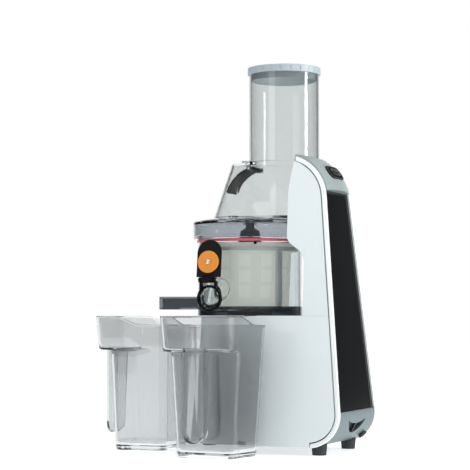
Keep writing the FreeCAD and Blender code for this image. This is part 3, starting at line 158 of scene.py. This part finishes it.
def finish(name, colour, roughness, grain=0.02, grain_size=900.0, coat=0.0, metal=0.0, mottle=0.04,
           mirror=0.5):
    """A moulded or metal surface: fine grain in its bump, and faint clouds in colour and gloss."""
    material = bpy.data.materials.new(name)
    material.use_nodes = True
    tree = material.node_tree
    shader = tree.nodes["Principled BSDF"]
    place = tree.nodes.new("ShaderNodeTexCoord")
    fine = tree.nodes.new("ShaderNodeTexNoise")
    fine.inputs["Scale"].default_value = grain_size
    fine.inputs["Detail"].default_value = 3
    clouds = tree.nodes.new("ShaderNodeTexNoise")
    clouds.inputs["Scale"].default_value = CLOUD_SCALE
    clouds.inputs["Detail"].default_value = 4
    bump = tree.nodes.new("ShaderNodeBump")
    bump.inputs["Strength"].default_value = grain
    bump.inputs["Distance"].default_value = GRAIN_DEPTH
    shade = tree.nodes.new("ShaderNodeMix")
    shade.data_type = "RGBA"
    low = [max(0.0, channel * (1 - mottle)) for channel in colour]
    high = [min(1.0, channel * (1 + mottle)) for channel in colour]
    shade.inputs["A"].default_value = (*low, 1)
    shade.inputs["B"].default_value = (*high, 1)
    gloss = tree.nodes.new("ShaderNodeMapRange")
    gloss.inputs["To Min"].default_value = roughness * 0.85
    gloss.inputs["To Max"].default_value = roughness * 1.2
    tree.links.new(place.outputs["Object"], fine.inputs["Vector"])
    tree.links.new(place.outputs["Object"], clouds.inputs["Vector"])
    tree.links.new(fine.outputs["Fac"], bump.inputs["Height"])
    tree.links.new(clouds.outputs["Fac"], shade.inputs["Factor"])
    tree.links.new(clouds.outputs["Fac"], gloss.inputs["Value"])
    tree.links.new(shade.outputs["Result"], shader.inputs["Base Color"])
    tree.links.new(gloss.outputs["Result"], shader.inputs["Roughness"])
    tree.links.new(bump.outputs["Normal"], shader.inputs["Normal"])
    shader.inputs["Specular IOR Level"].default_value = mirror
    shader.inputs["Coat Weight"].default_value = coat
    shader.inputs["Coat Roughness"].default_value = 0.04
    shader.inputs["Metallic"].default_value = metal
    return material


def add_piece(name, form, material, body, replaced=()):
    """Turn a finished bmesh into a piece that rides on its body."""
    mesh = bpy.data.meshes.new(name)
    form.to_mesh(mesh)
    form.free()
    mesh.materials.append(material)
    piece = bpy.data.objects.new(name, mesh)
    bpy.context.scene.collection.objects.link(piece)
    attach(piece, body)
    if replaced:
        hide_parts(*replaced)
    return piece


def body_of_node(node):
    """The body that carries the node."""
    return next(body for body, members in frame["record"]["behaviour"]["bodies"].items()
                if node in members)


def smooth(piece, degrees=32):
    """Round shading, broken where two faces meet at more than the angle."""
    piece.data.shade_smooth()
    piece.data.set_sharp_from_angle(angle=math.radians(degrees))
    even = piece.modifiers.new("even_shading", "WEIGHTED_NORMAL")
    even.keep_sharp = True
    even.weight = 100
    return piece


def round_edges(form, radius, segments=2, sharp=35):
    """Round every edge where two faces meet at more than the sharp angle."""
    edges = [edge for edge in form.edges if len(edge.link_faces) == 2
             and edge.calc_face_angle(0) > math.radians(sharp)]
    bmesh.ops.bevel(form, geom=edges, offset=radius, affect="EDGES", segments=segments,
                    profile=0.5, material=-1, clamp_overlap=True)
    return form


def softened(node, radius, material, segments=2, sharp=35):
    """The node's own form with its sharp edges rounded, as a moulding or a pressing has them."""
    form = bmesh.new()
    form.from_mesh(frame["nodes"][node].data)
    bmesh.ops.remove_doubles(form, verts=form.verts, dist=SAME_POINT)
    bmesh.ops.dissolve_limit(form, angle_limit=CLEAN_EDGE, verts=form.verts, edges=form.edges)
    round_edges(form, radius, segments, sharp)
    bmesh.ops.triangulate(form, faces=[face for face in form.faces if len(face.verts) > 4])
    piece = add_piece(node + "_shown", form, material, body_of_node(node), [node])
    return smooth(piece)


white_abs = finish("white_abs", (0.74, 0.80, 0.815), 0.22, grain=0.03, coat=0.35, mottle=0.015)
for node in ("base_shell", "tower_shell"):
    softened(node, 0.7 * MM, white_abs)

# The side trims: a bright gloss bead pressed into each side. It runs from the tower's tip over the
# shoulder, down the back edge and round the heel.
bead_gloss = finish("bead_gloss", (0.86, 0.89, 0.89), 0.10, grain=0.01, coat=0.8, mottle=0.01)
for node in ("side_trim_left", "side_trim_right"):
    softened(node, 1.1 * MM, bead_gloss, segments=3)

# The back spine: a long strip of piano-black plastic, set a little below the two beads and held by
# the tower's rebate.
piano_black = finish("piano_black", (0.002, 0.0025, 0.003), 0.12, grain=0.008, mottle=0.1, mirror=0.09)
softened("back_spine", 0.4 * MM, piano_black)

# The rear bottom cover: a satin grey moulding across the heel, with a smile-shaped opening that
# the vent insert fills from inside.
heel_grey = finish("heel_grey", (0.10, 0.145, 0.155), 0.36, grain=0.10, mottle=0.05)
softened("rear_bottom_cover", 0.5 * MM, heel_grey)
vent_black = finish("vent_black", (0.010, 0.011, 0.013), 0.45, grain=0.15, mirror=0.3)
softened("vent_insert", 0.25 * MM, vent_black)

# The top cap: a crowned satin shell between the beads, with the switch sunk in an oval bezel.
cap_satin = finish("cap_satin", (0.30, 0.36, 0.355), 0.30, grain=0.08, mottle=0.03)
softened("top_cap", 0.5 * MM, cap_satin)
softened("switch_bezel", 0.3 * MM, vent_black)
rocker_black = finish("rocker_black", (0.014, 0.016, 0.019), 0.30, grain=0.08, mirror=0.35)
softened("power_switch", 0.5 * MM, rocker_black)

# The underside: a vented grey plate held by four zinc-plated screws, four rubber feet pushed into
# the base and the heel, and the rubber gland at the back.
softened("bottom_plate", 0.3 * MM, heel_grey)
foot_rubber = finish("foot_rubber", (0.028, 0.03, 0.033), 0.75, grain=0.35, grain_size=600)
softened("rubber_feet", 0.6 * MM, foot_rubber)
zinc = finish("zinc", (0.56, 0.56, 0.58), 0.35, grain=0.05, metal=1.0)
softened("bottom_plate_screws", 0.15 * MM, zinc)
softened("cord_gland", 0.4 * MM, foot_rubber)

# The drive under the shelf: an induction motor with its fan, the gearbox above it and the
# stainless hexagonal shaft that turns the auger.
lamination = finish("lamination", (0.22, 0.22, 0.24), 0.5, grain=0.4, grain_size=1500, metal=0.9)
copper = finish("copper_wire", (0.62, 0.28, 0.12), 0.32, grain=0.5, grain_size=1200, metal=0.9)
die_cast = finish("die_cast", (0.58, 0.58, 0.6), 0.48, grain=0.3, metal=1.0)
nylon = finish("gear_nylon", (0.74, 0.73, 0.68), 0.5, grain=0.2)
stainless = finish("stainless", (0.66, 0.66, 0.68), 0.18, grain=0.04, metal=1.0)
board_green = finish("board_green", (0.03, 0.16, 0.07), 0.4, grain=0.3, mottle=0.2)
for node, radius, material in (
        ("motor_stator", 0.5, lamination), ("motor_rotor", 0.4, lamination),
        ("motor_windings_low", 2.0, copper), ("motor_windings_high", 2.0, copper),
        ("motor_bracket", 0.6, die_cast), ("gearbox_case", 1.2, nylon), ("gearbox_screws", 0.2, zinc),
        ("output_bearing", 0.3, stainless), ("shaft_seal", 0.5, foot_rubber),
        ("drive_shaft", 0.3, stainless), ("control_board", 0.2, board_green),
        ("cooling_fan", 0.2, vent_black)):
    softened(node, radius * MM, material)

# The bowl: clear copolyester with a smoke band round its foot, a red silicone seal under the lid
# and a small black mark on its wall that lines up with the lid.
FLOW_SCALE = 22.0
FLOW_DEPTH = 0.001


def clear_plastic(name, tint, roughness=0.03, ior=1.47, haze=0.0, painted_glow=0.0):
    """A clear moulding with faint flow lines; its painted glow is emission in its own tint, painted light
    standing in for the light that reaches it through clear walls.
    """
    material = bpy.data.materials.new(name)
    material.use_nodes = True
    tree = material.node_tree
    shader = tree.nodes["Principled BSDF"]
    shader.inputs["Base Color"].default_value = (*tint, 1)
    shader.inputs["Transmission Weight"].default_value = 1.0 - haze
    shader.inputs["IOR"].default_value = ior
    # Painted glow: emission in the tint, standing in for light that reaches the part through clear walls.
    shader.inputs["Emission Color"].default_value = (*tint, 1)
    shader.inputs["Emission Strength"].default_value = painted_glow
    place = tree.nodes.new("ShaderNodeTexCoord")
    flow = tree.nodes.new("ShaderNodeTexNoise")
    flow.inputs["Scale"].default_value = FLOW_SCALE
    flow.inputs["Detail"].default_value = 2
    bump = tree.nodes.new("ShaderNodeBump")
    bump.inputs["Strength"].default_value = 0.05
    bump.inputs["Distance"].default_value = FLOW_DEPTH
    gloss = tree.nodes.new("ShaderNodeMapRange")
    gloss.inputs["To Min"].default_value = roughness * 0.5
    gloss.inputs["To Max"].default_value = roughness * 1.6
    tree.links.new(place.outputs["Object"], flow.inputs["Vector"])
    tree.links.new(flow.outputs["Fac"], bump.inputs["Height"])
    tree.links.new(flow.outputs["Fac"], gloss.inputs["Value"])
    tree.links.new(gloss.outputs["Result"], shader.inputs["Roughness"])
    tree.links.new(bump.outputs["Normal"], shader.inputs["Normal"])
    return material


clear_bowl = clear_plastic("clear_bowl", (0.84, 0.88, 0.89))
smoke = clear_plastic("smoke", (0.20, 0.22, 0.24), roughness=0.05)
red_silicone = finish("red_silicone", (0.70, 0.10, 0.14), 0.4, grain=0.05)
softened("juice_bowl", 0.4 * MM, clear_bowl)
softened("juice_duct", 0.3 * MM, clear_bowl)
softened("bowl_base_band", 0.2 * MM, smoke)
softened("pulp_chute", 0.5 * MM, smoke)
softened("bowl_rim_seal", 0.6 * MM, red_silicone)
softened("bowl_hub_seal", 0.5 * MM, red_silicone)


def turned_form(outline, base, way, steps=96):
    """Sweep an outline of (radius, height) points full round, then stand it on its base."""
    form = bmesh.new()
    points = [form.verts.new((radius, 0, height)) for radius, height in outline]
    for first, second in zip(points, points[1:] + points[:1]):
        if first.co.x > 0 or second.co.x > 0:
            form.edges.new((first, second))
    bmesh.ops.spin(form, geom=form.verts[:] + form.edges[:], cent=(0, 0, 0), axis=(0, 0, 1),
                   dvec=(0, 0, 0), angle=2 * math.pi, steps=steps, use_merge=True)
    bmesh.ops.remove_doubles(form, verts=form.verts, dist=1e-6)
    bmesh.ops.recalc_face_normals(form, faces=form.faces)
    turn = way.to_track_quat("Z", "Y").to_matrix().to_4x4()
    bmesh.ops.transform(form, matrix=Matrix.Translation(base) @ turn, verts=form.verts)
    return form


def centre_of(node):
    """The middle of a node's bounding box."""
    spots = [vertex.co for vertex in frame["nodes"][node].data.vertices]
    return Vector([(min(spot[k] for spot in spots) + max(spot[k] for spot in spots)) / 2
                   for k in range(3)])


# The mouth ring: a gloss-black ring pushed over the end of the clear duct. It lies on the same line
# as the cap's hinge, so the joint's axis gives the way that it faces.
cap_joint = next(joint for joint in frame["record"]["behaviour"]["joints"]
                 if joint["name"] == "drip_cap_hinge")
cap_hinge = Vector(cap_joint["pos_m"])
port_side = Vector(cap_joint["axis"]).normalized()
port_out = port_side.cross(Vector((0, 0, 1)))
RING_RADIUS = 15.0 * MM
RING_WALL = 3.0 * MM
RING_DEEP = 5.0 * MM
ring_form = turned_form([(RING_RADIUS - RING_WALL, 0), (RING_RADIUS, 0), (RING_RADIUS, RING_DEEP),
                         (RING_RADIUS - RING_WALL, RING_DEEP)],
                        centre_of("mouth_ring") - port_out * RING_DEEP / 2, port_out)
round_edges(ring_form, 1.1 * MM, 4)
smooth(add_piece("mouth_ring_shown", ring_form, piano_black, "bowl", ["mouth_ring"]))

# The alignment mark: a small black dot printed on the bowl's wall under the seal, where the lid is
# lined up before it is turned.
MARK_RADIUS = 1.7 * MM
BOWL_RADIUS = 60.5 * MM
MARK_LEVEL = 236.8 * MM
mark_way = (-away + across * 0.1).normalized()
mark_form = turned_form([(0, 0), (MARK_RADIUS, 0), (MARK_RADIUS, 0.25 * MM), (0, 0.25 * MM)],
                        mark_way * BOWL_RADIUS + Vector((0, 0, MARK_LEVEL)), mark_way, 32)
smooth(add_piece("lid_mark", mark_form, piano_black, "bowl"))

# Inside the bowl: a hazy strainer basket with a sleeve of fine mesh, the wiper frame with its
# silicone blades, and the dark auger that turns inside the basket.
# The hazy resin glows faintly: painted light standing in for the light that reaches the strainer through the
# bowl's clear wall.
hazy = clear_plastic("hazy_resin", (0.93, 0.93, 0.88), roughness=0.35, haze=0.55, painted_glow=0.08)
pale_nylon = finish("pale_nylon", (0.78, 0.80, 0.77), 0.4, grain=0.1)
silicone = clear_plastic("milky_silicone", (0.85, 0.86, 0.84), roughness=0.4, haze=0.6)
dark_resin = finish("dark_resin", (0.035, 0.036, 0.04), 0.28, grain=0.08, mirror=0.3)
softened("strainer_basket", 0.2 * MM, hazy)
# The mesh sleeve glows more strongly: painted light standing in for the light that reaches it through the
# bowl's clear wall.
fine_mesh = clear_plastic("fine_mesh", (0.93, 0.93, 0.88), roughness=0.5, haze=0.85, painted_glow=0.17)
MESH_LOW = 165.0 * MM
MESH_HIGH = 232.0 * MM
MESH_LOW_RADIUS = 44.3 * MM
MESH_HIGH_RADIUS = 47.3 * MM
MESH_THICK = 0.3 * MM
MESH_STEPS = 144
mesh_form = turned_form([(MESH_LOW_RADIUS, MESH_LOW), (MESH_LOW_RADIUS + MESH_THICK, MESH_LOW),
                         (MESH_HIGH_RADIUS + MESH_THICK, MESH_HIGH), (MESH_HIGH_RADIUS, MESH_HIGH)],
                        Vector((0, 0, 0)), Vector((0, 0, 1)), MESH_STEPS)
smooth(add_piece("strainer_mesh_sleeve", mesh_form, fine_mesh, "bowl"))
softened("wiper_frame", 0.3 * MM, pale_nylon)
softened("wiper_blades", 0.15 * MM, silicone)
softened("auger", 0.5 * MM, dark_resin)

# The drip cap: a gloss-black plate on a steel pin, folded up over its hinge, with a round end and
# a short arm that reaches its knuckle.
orange_silicone = finish("orange_silicone", (0.80, 0.27, 0.02), 0.42, grain=0.06, mottle=0.06)
CAP_LEAN = math.radians(6)
CAP_HALF = 15.0 * MM
CAP_START = 3.5 * MM
CAP_LENGTH = 46.0 * MM
CAP_THICK = 2.4 * MM
CAP_BACK = -3.2 * MM
CAP_ARC_STEPS = 32
cap_up = Vector((0, 0, 1)) * math.cos(CAP_LEAN) - port_out * math.sin(CAP_LEAN)
cap_face = port_out * math.cos(CAP_LEAN) + Vector((0, 0, 1)) * math.sin(CAP_LEAN)
cap_form = bmesh.new()
cap_outline = [(-CAP_HALF, CAP_START), (CAP_HALF, CAP_START)]
for step in range(CAP_ARC_STEPS + 1):
    turn = math.pi * step / CAP_ARC_STEPS
    cap_outline.append((CAP_HALF * math.cos(turn), CAP_LENGTH - CAP_HALF + CAP_HALF * math.sin(turn)))
cap_origin = cap_hinge + cap_face * CAP_BACK
cap_back = cap_form.faces.new([cap_form.verts.new(cap_origin + port_side * side + cap_up * up)
                               for side, up in cap_outline])
cap_sweep = bmesh.ops.extrude_face_region(cap_form, geom=[cap_back])
bmesh.ops.translate(cap_form, vec=cap_face * CAP_THICK,
                    verts=[item for item in cap_sweep["geom"] if isinstance(item, bmesh.types.BMVert)])
bmesh.ops.recalc_face_normals(cap_form, faces=cap_form.faces)
round_edges(cap_form, 0.8 * MM, 4)
smooth(add_piece("drip_cap_plate", cap_form, piano_black, "drip_cap", ["drip_cap"]))
KNUCKLE_RADIUS = 3.4 * MM
KNUCKLE_LONG = 14.0 * MM
knuckle_form = turned_form([(0, 0), (KNUCKLE_RADIUS, 0), (KNUCKLE_RADIUS, KNUCKLE_LONG),
                            (0, KNUCKLE_LONG)], cap_hinge - port_side * KNUCKLE_LONG / 2, port_side, 48)
round_edges(knuckle_form, 0.3 * MM)
smooth(add_piece("drip_cap_knuckle", knuckle_form, piano_black, "drip_cap"))
ARM_HIGH = 6 * MM
arm_form = bmesh.new()
bmesh.ops.create_cube(arm_form, size=1)
arm_turn = Matrix((port_side, cap_up, cap_face)).transposed().to_4x4()
bmesh.ops.transform(arm_form, verts=arm_form.verts, matrix=Matrix.Translation(
    cap_hinge + cap_up * CAP_START + cap_face * (CAP_BACK + CAP_THICK / 2)) @ arm_turn @ Matrix.Diagonal(
    (KNUCKLE_LONG, ARM_HIGH, CAP_THICK, 1)))
round_edges(arm_form, 0.4 * MM)
smooth(add_piece("drip_cap_arm", arm_form, piano_black, "drip_cap"))

# The drip cap's seal: an orange silicone disc with a soft raised rim, pressed on the plate and held
# by a steel stud.
SEAL_RADIUS = 12.6 * MM
SEAL_THICK = 2.6 * MM
SEAL_BORE = 2.05 * MM
SEAL_RIM = 2.2 * MM
SEAL_SUNK = 0.5 * MM
seal_base = centre_of("drip_cap_seal") - cap_face * SEAL_THICK / 2
seal_form = turned_form([(SEAL_BORE, 0), (SEAL_RADIUS, 0), (SEAL_RADIUS, SEAL_THICK),
                         (SEAL_RADIUS - SEAL_RIM, SEAL_THICK),
                         (SEAL_RADIUS - SEAL_RIM - 0.8 * MM, SEAL_THICK - SEAL_SUNK),
                         (SEAL_BORE, SEAL_THICK - SEAL_SUNK)], seal_base, cap_face)
round_edges(seal_form, 0.45 * MM, 3, 30)
smooth(add_piece("drip_cap_disc", seal_form, orange_silicone, "drip_cap", ["drip_cap_seal"]))
STUD_RADIUS = 2.0 * MM
STUD_HEAD = 3.2 * MM
STUD_STEPS = 40
stud_form = turned_form([(0, 0), (STUD_RADIUS, 0), (STUD_RADIUS, SEAL_THICK), (STUD_HEAD, SEAL_THICK),
                         (2.8 * MM, SEAL_THICK + 1.0 * MM), (1.4 * MM, SEAL_THICK + 1.3 * MM),
                         (1.2 * MM, SEAL_THICK + 0.7 * MM), (0, SEAL_THICK + 0.7 * MM)],
                        seal_base, cap_face, STUD_STEPS)
round_edges(stud_form, 0.2 * MM)
smooth(add_piece("drip_cap_rivet", stud_form, stainless, "drip_cap", ["drip_cap_stud"]))
softened("drip_cap_pin", 0.2 * MM, stainless)
softened("drip_cap_lugs", 0.3 * MM, piano_black)

# The lid: collar, hopper dome and feed chute in one clear plastic, with a pale ring on the chute
# and a black gate that hangs in the hopper.
clear_lid = clear_plastic("clear_lid", (0.80, 0.82, 0.82))
collar_clear = clear_plastic("collar_clear", (0.60, 0.63, 0.66))
softened("lid_collar", 0.6 * MM, collar_clear)
for node, radius in (("hopper_dome", 0.3), ("feed_chute", 0.4), ("hinge_box", 0.5), ("gate_ears", 0.2)):
    softened(node, radius * MM, clear_lid)
ring_plastic = finish("ring_plastic", (0.42, 0.48, 0.51), 0.36, grain=0.06)
softened("chute_ring", 0.4 * MM, ring_plastic)
gate_black = finish("gate_black", (0.004, 0.0045, 0.006), 0.5, grain=0.1, mirror=0.1)
softened("gate_flap", 0.4 * MM, gate_black)
softened("gate_pin", 0.2 * MM, stainless)

# The jugs: two alike, clear, one under each spout. The lower body is narrow, the part above the
# ledge reaches out over the handle, and the rim dips towards the machine in a long S.
clear_jug = clear_plastic("clear_jug", (0.70, 0.71, 0.715), ior=1.52)
JUG_HEIGHT = 154.0 * MM
JUG_WALL = 2.4 * MM
JUG_CORNER = 14.0 * MM
JUG_BASE = (-33.0 * MM, 33.0 * MM, 37.0 * MM)
JUG_TOP = (-38.0 * MM, 54.0 * MM, 46.0 * MM)
JUG_LEDGE = 115.0 * MM
JUG_LEDGE_FRONT = 36.0 * MM
JUG_SHOULDER_FRONT = 51.5 * MM
JUG_FLOOR = 6.0 * MM
JUG_DIP = 10.0 * MM
LEDGE_ROUND = 4.0 * MM
SHOULDER_ROUND = 3.0 * MM
INNER_ROUND = 2.0 * MM
FLOOR_ROUND = 5.0 * MM
LEDGE_STEPS = 5
CORNER_STEPS = 10
SIDE_STEPS = 30
dip_start = JUG_TOP[0] + 0.30 * (JUG_TOP[1] - JUG_TOP[0])
dip_end = JUG_TOP[0] + 0.72 * (JUG_TOP[1] - JUG_TOP[0])


def jug_loop(level, front, inset=0.0, corner=JUG_CORNER):
    """One level of the jug: a rounded rectangle with extra points along the sides for the dip."""
    share = level / JUG_HEIGHT
    back = JUG_BASE[0] + (JUG_TOP[0] - JUG_BASE[0]) * share + inset
    half = JUG_BASE[2] + (JUG_TOP[2] - JUG_BASE[2]) * share - inset
    front -= inset
    corner = max(1.0 * MM, corner - inset)
    spots = []
    for middle_u, middle_v, start in (
            (front - corner, half - corner, 0), (back + corner, half - corner, 90),
            (back + corner, corner - half, 180), (front - corner, corner - half, 270)):
        for step in range(CORNER_STEPS + 1):
            turn = math.radians(start + 90 * step / CORNER_STEPS)
            spots.append((middle_u + corner * math.cos(turn), middle_v + corner * math.sin(turn)))
        if start in (0, 180):
            towards = -1 if start == 0 else 1
            run = front - back - 2 * corner
            side = half if start == 0 else -half
            for step in range(1, SIDE_STEPS):
                spots.append((middle_u + towards * run * step / SIDE_STEPS, side))
    return [Vector((u, v, level)) for u, v in spots]


def dipped(loop):
    """Lower the loop's points behind the dip along a smooth S."""
    for spot in loop:
        share = min(1.0, max(0.0, (spot.x - dip_start) / (dip_end - dip_start)))
        spot.z -= JUG_DIP * (1 - share * share * (3 - 2 * share))
    return loop


def lower_front(level):
    """How far the part below the ledge reaches forward at a level."""
    return JUG_BASE[1] + (JUG_LEDGE_FRONT - JUG_BASE[1]) * level / (JUG_LEDGE + 8 * MM)


def upper_front(level):
    """How far the part above the ledge reaches forward at a level."""
    share = (level - JUG_LEDGE) / (JUG_HEIGHT - JUG_LEDGE)
    return JUG_SHOULDER_FRONT + (JUG_TOP[1] - JUG_SHOULDER_FRONT) * share


outer_loops = [jug_loop(0.0, lower_front(0.0), 1.6 * MM), jug_loop(0.8 * MM, lower_front(0.0), 0.9 * MM),
               jug_loop(3.2 * MM, lower_front(0.0), 0.9 * MM), jug_loop(4.2 * MM, lower_front(0.0))]
outer_loops += [jug_loop(level * MM, lower_front(level * MM)) for level in (6, 20, 45, 80, 104, 110)]
for step in range(1, LEDGE_STEPS + 1):
    turn = math.pi / 2 * step / LEDGE_STEPS
    outer_loops.append(jug_loop(JUG_LEDGE - LEDGE_ROUND * (1 - math.sin(turn)),
                                lower_front(JUG_LEDGE) + LEDGE_ROUND * (1 - math.cos(turn))))
for step in range(LEDGE_STEPS + 1):
    turn = math.pi / 2 * step / LEDGE_STEPS
    outer_loops.append(jug_loop(JUG_LEDGE + SHOULDER_ROUND * (1 - math.cos(turn)),
                                JUG_SHOULDER_FRONT - SHOULDER_ROUND * (1 - math.sin(turn))))
outer_loops += [jug_loop(JUG_LEDGE + level * MM, upper_front(JUG_LEDGE + level * MM))
                for level in (6, 16, 26)]
outer_loops += [dipped(jug_loop(JUG_HEIGHT - drop, upper_front(JUG_HEIGHT), inset))
                for drop, inset in ((2.4 * MM, 0.0), (1.0 * MM, 0.0), (0.3 * MM, 0.35 * MM), (0.0, 1.0 * MM))]
inner_loops = [dipped(jug_loop(JUG_HEIGHT - drop, upper_front(JUG_HEIGHT), inset))
               for drop, inset in ((0.0, 1.5 * MM), (0.3 * MM, 2.1 * MM),
                                   (1.0 * MM, JUG_WALL), (2.4 * MM, JUG_WALL))]
inner_loops += [jug_loop(JUG_LEDGE + level * MM, upper_front(JUG_LEDGE + level * MM), JUG_WALL)
                for level in (26, 16, 8)]
for step in range(LEDGE_STEPS + 1):
    turn = math.pi / 2 * step / LEDGE_STEPS
    inner_loops.append(jug_loop(JUG_LEDGE + JUG_WALL + SHOULDER_ROUND * (1 - math.sin(turn)),
                                JUG_SHOULDER_FRONT - SHOULDER_ROUND * (1 - math.cos(turn)), JUG_WALL))
for step in range(LEDGE_STEPS + 1):
    turn = math.pi / 2 * step / LEDGE_STEPS
    inner_loops.append(jug_loop(JUG_LEDGE + JUG_WALL - INNER_ROUND * (1 - math.cos(turn)),
                                lower_front(JUG_LEDGE) + INNER_ROUND * (1 - math.sin(turn)), JUG_WALL))
inner_loops += [jug_loop(level * MM, lower_front(level * MM), JUG_WALL)
                for level in (104, 80, 45, 20, 11)]
for step in range(1, LEDGE_STEPS + 1):
    turn = math.pi / 2 * step / LEDGE_STEPS
    inner_loops.append(jug_loop(JUG_FLOOR + FLOOR_ROUND * (1 - math.sin(turn)), lower_front(11 * MM),
                                JUG_WALL + FLOOR_ROUND * (1 - math.cos(turn))))
jug_joints = {joint["child"]: joint for joint in frame["record"]["behaviour"]["joints"]}
for node in ("juice_jug", "pulp_jug"):
    outward = Vector(jug_joints[node]["axis"]).normalized()
    aside = Vector((0, 0, 1)).cross(outward)
    node_spots = [vertex.co for vertex in frame["nodes"][node].data.vertices]
    reach_front = max(spot.dot(outward) for spot in node_spots) - JUG_TOP[1]
    side_places = [spot.dot(aside) for spot in node_spots]
    reach_side = (max(side_places) + min(side_places)) / 2
    place = Matrix.Translation(outward * reach_front + aside * reach_side) @ Matrix(
        (outward, aside, Vector((0, 0, 1)))).transposed().to_4x4()
    jug_form = bmesh.new()
    rows = [[jug_form.verts.new(spot) for spot in loop] for loop in outer_loops + inner_loops]
    count = len(rows[0])
    for low_row, high_row in zip(rows, rows[1:]):
        for index in range(count):
            following = (index + 1) % count
            jug_form.faces.new([low_row[index], low_row[following], high_row[following], high_row[index]])
    jug_form.faces.new(rows[0])
    jug_form.faces.new(rows[-1])
    bmesh.ops.recalc_face_normals(jug_form, faces=jug_form.faces)
    bmesh.ops.transform(jug_form, matrix=place, verts=jug_form.verts)
    smooth(add_piece(node + "_cup", jug_form, clear_jug, node, [node]), 40)
    softened(node + "_handle", 0.6 * MM, clear_jug, 3)
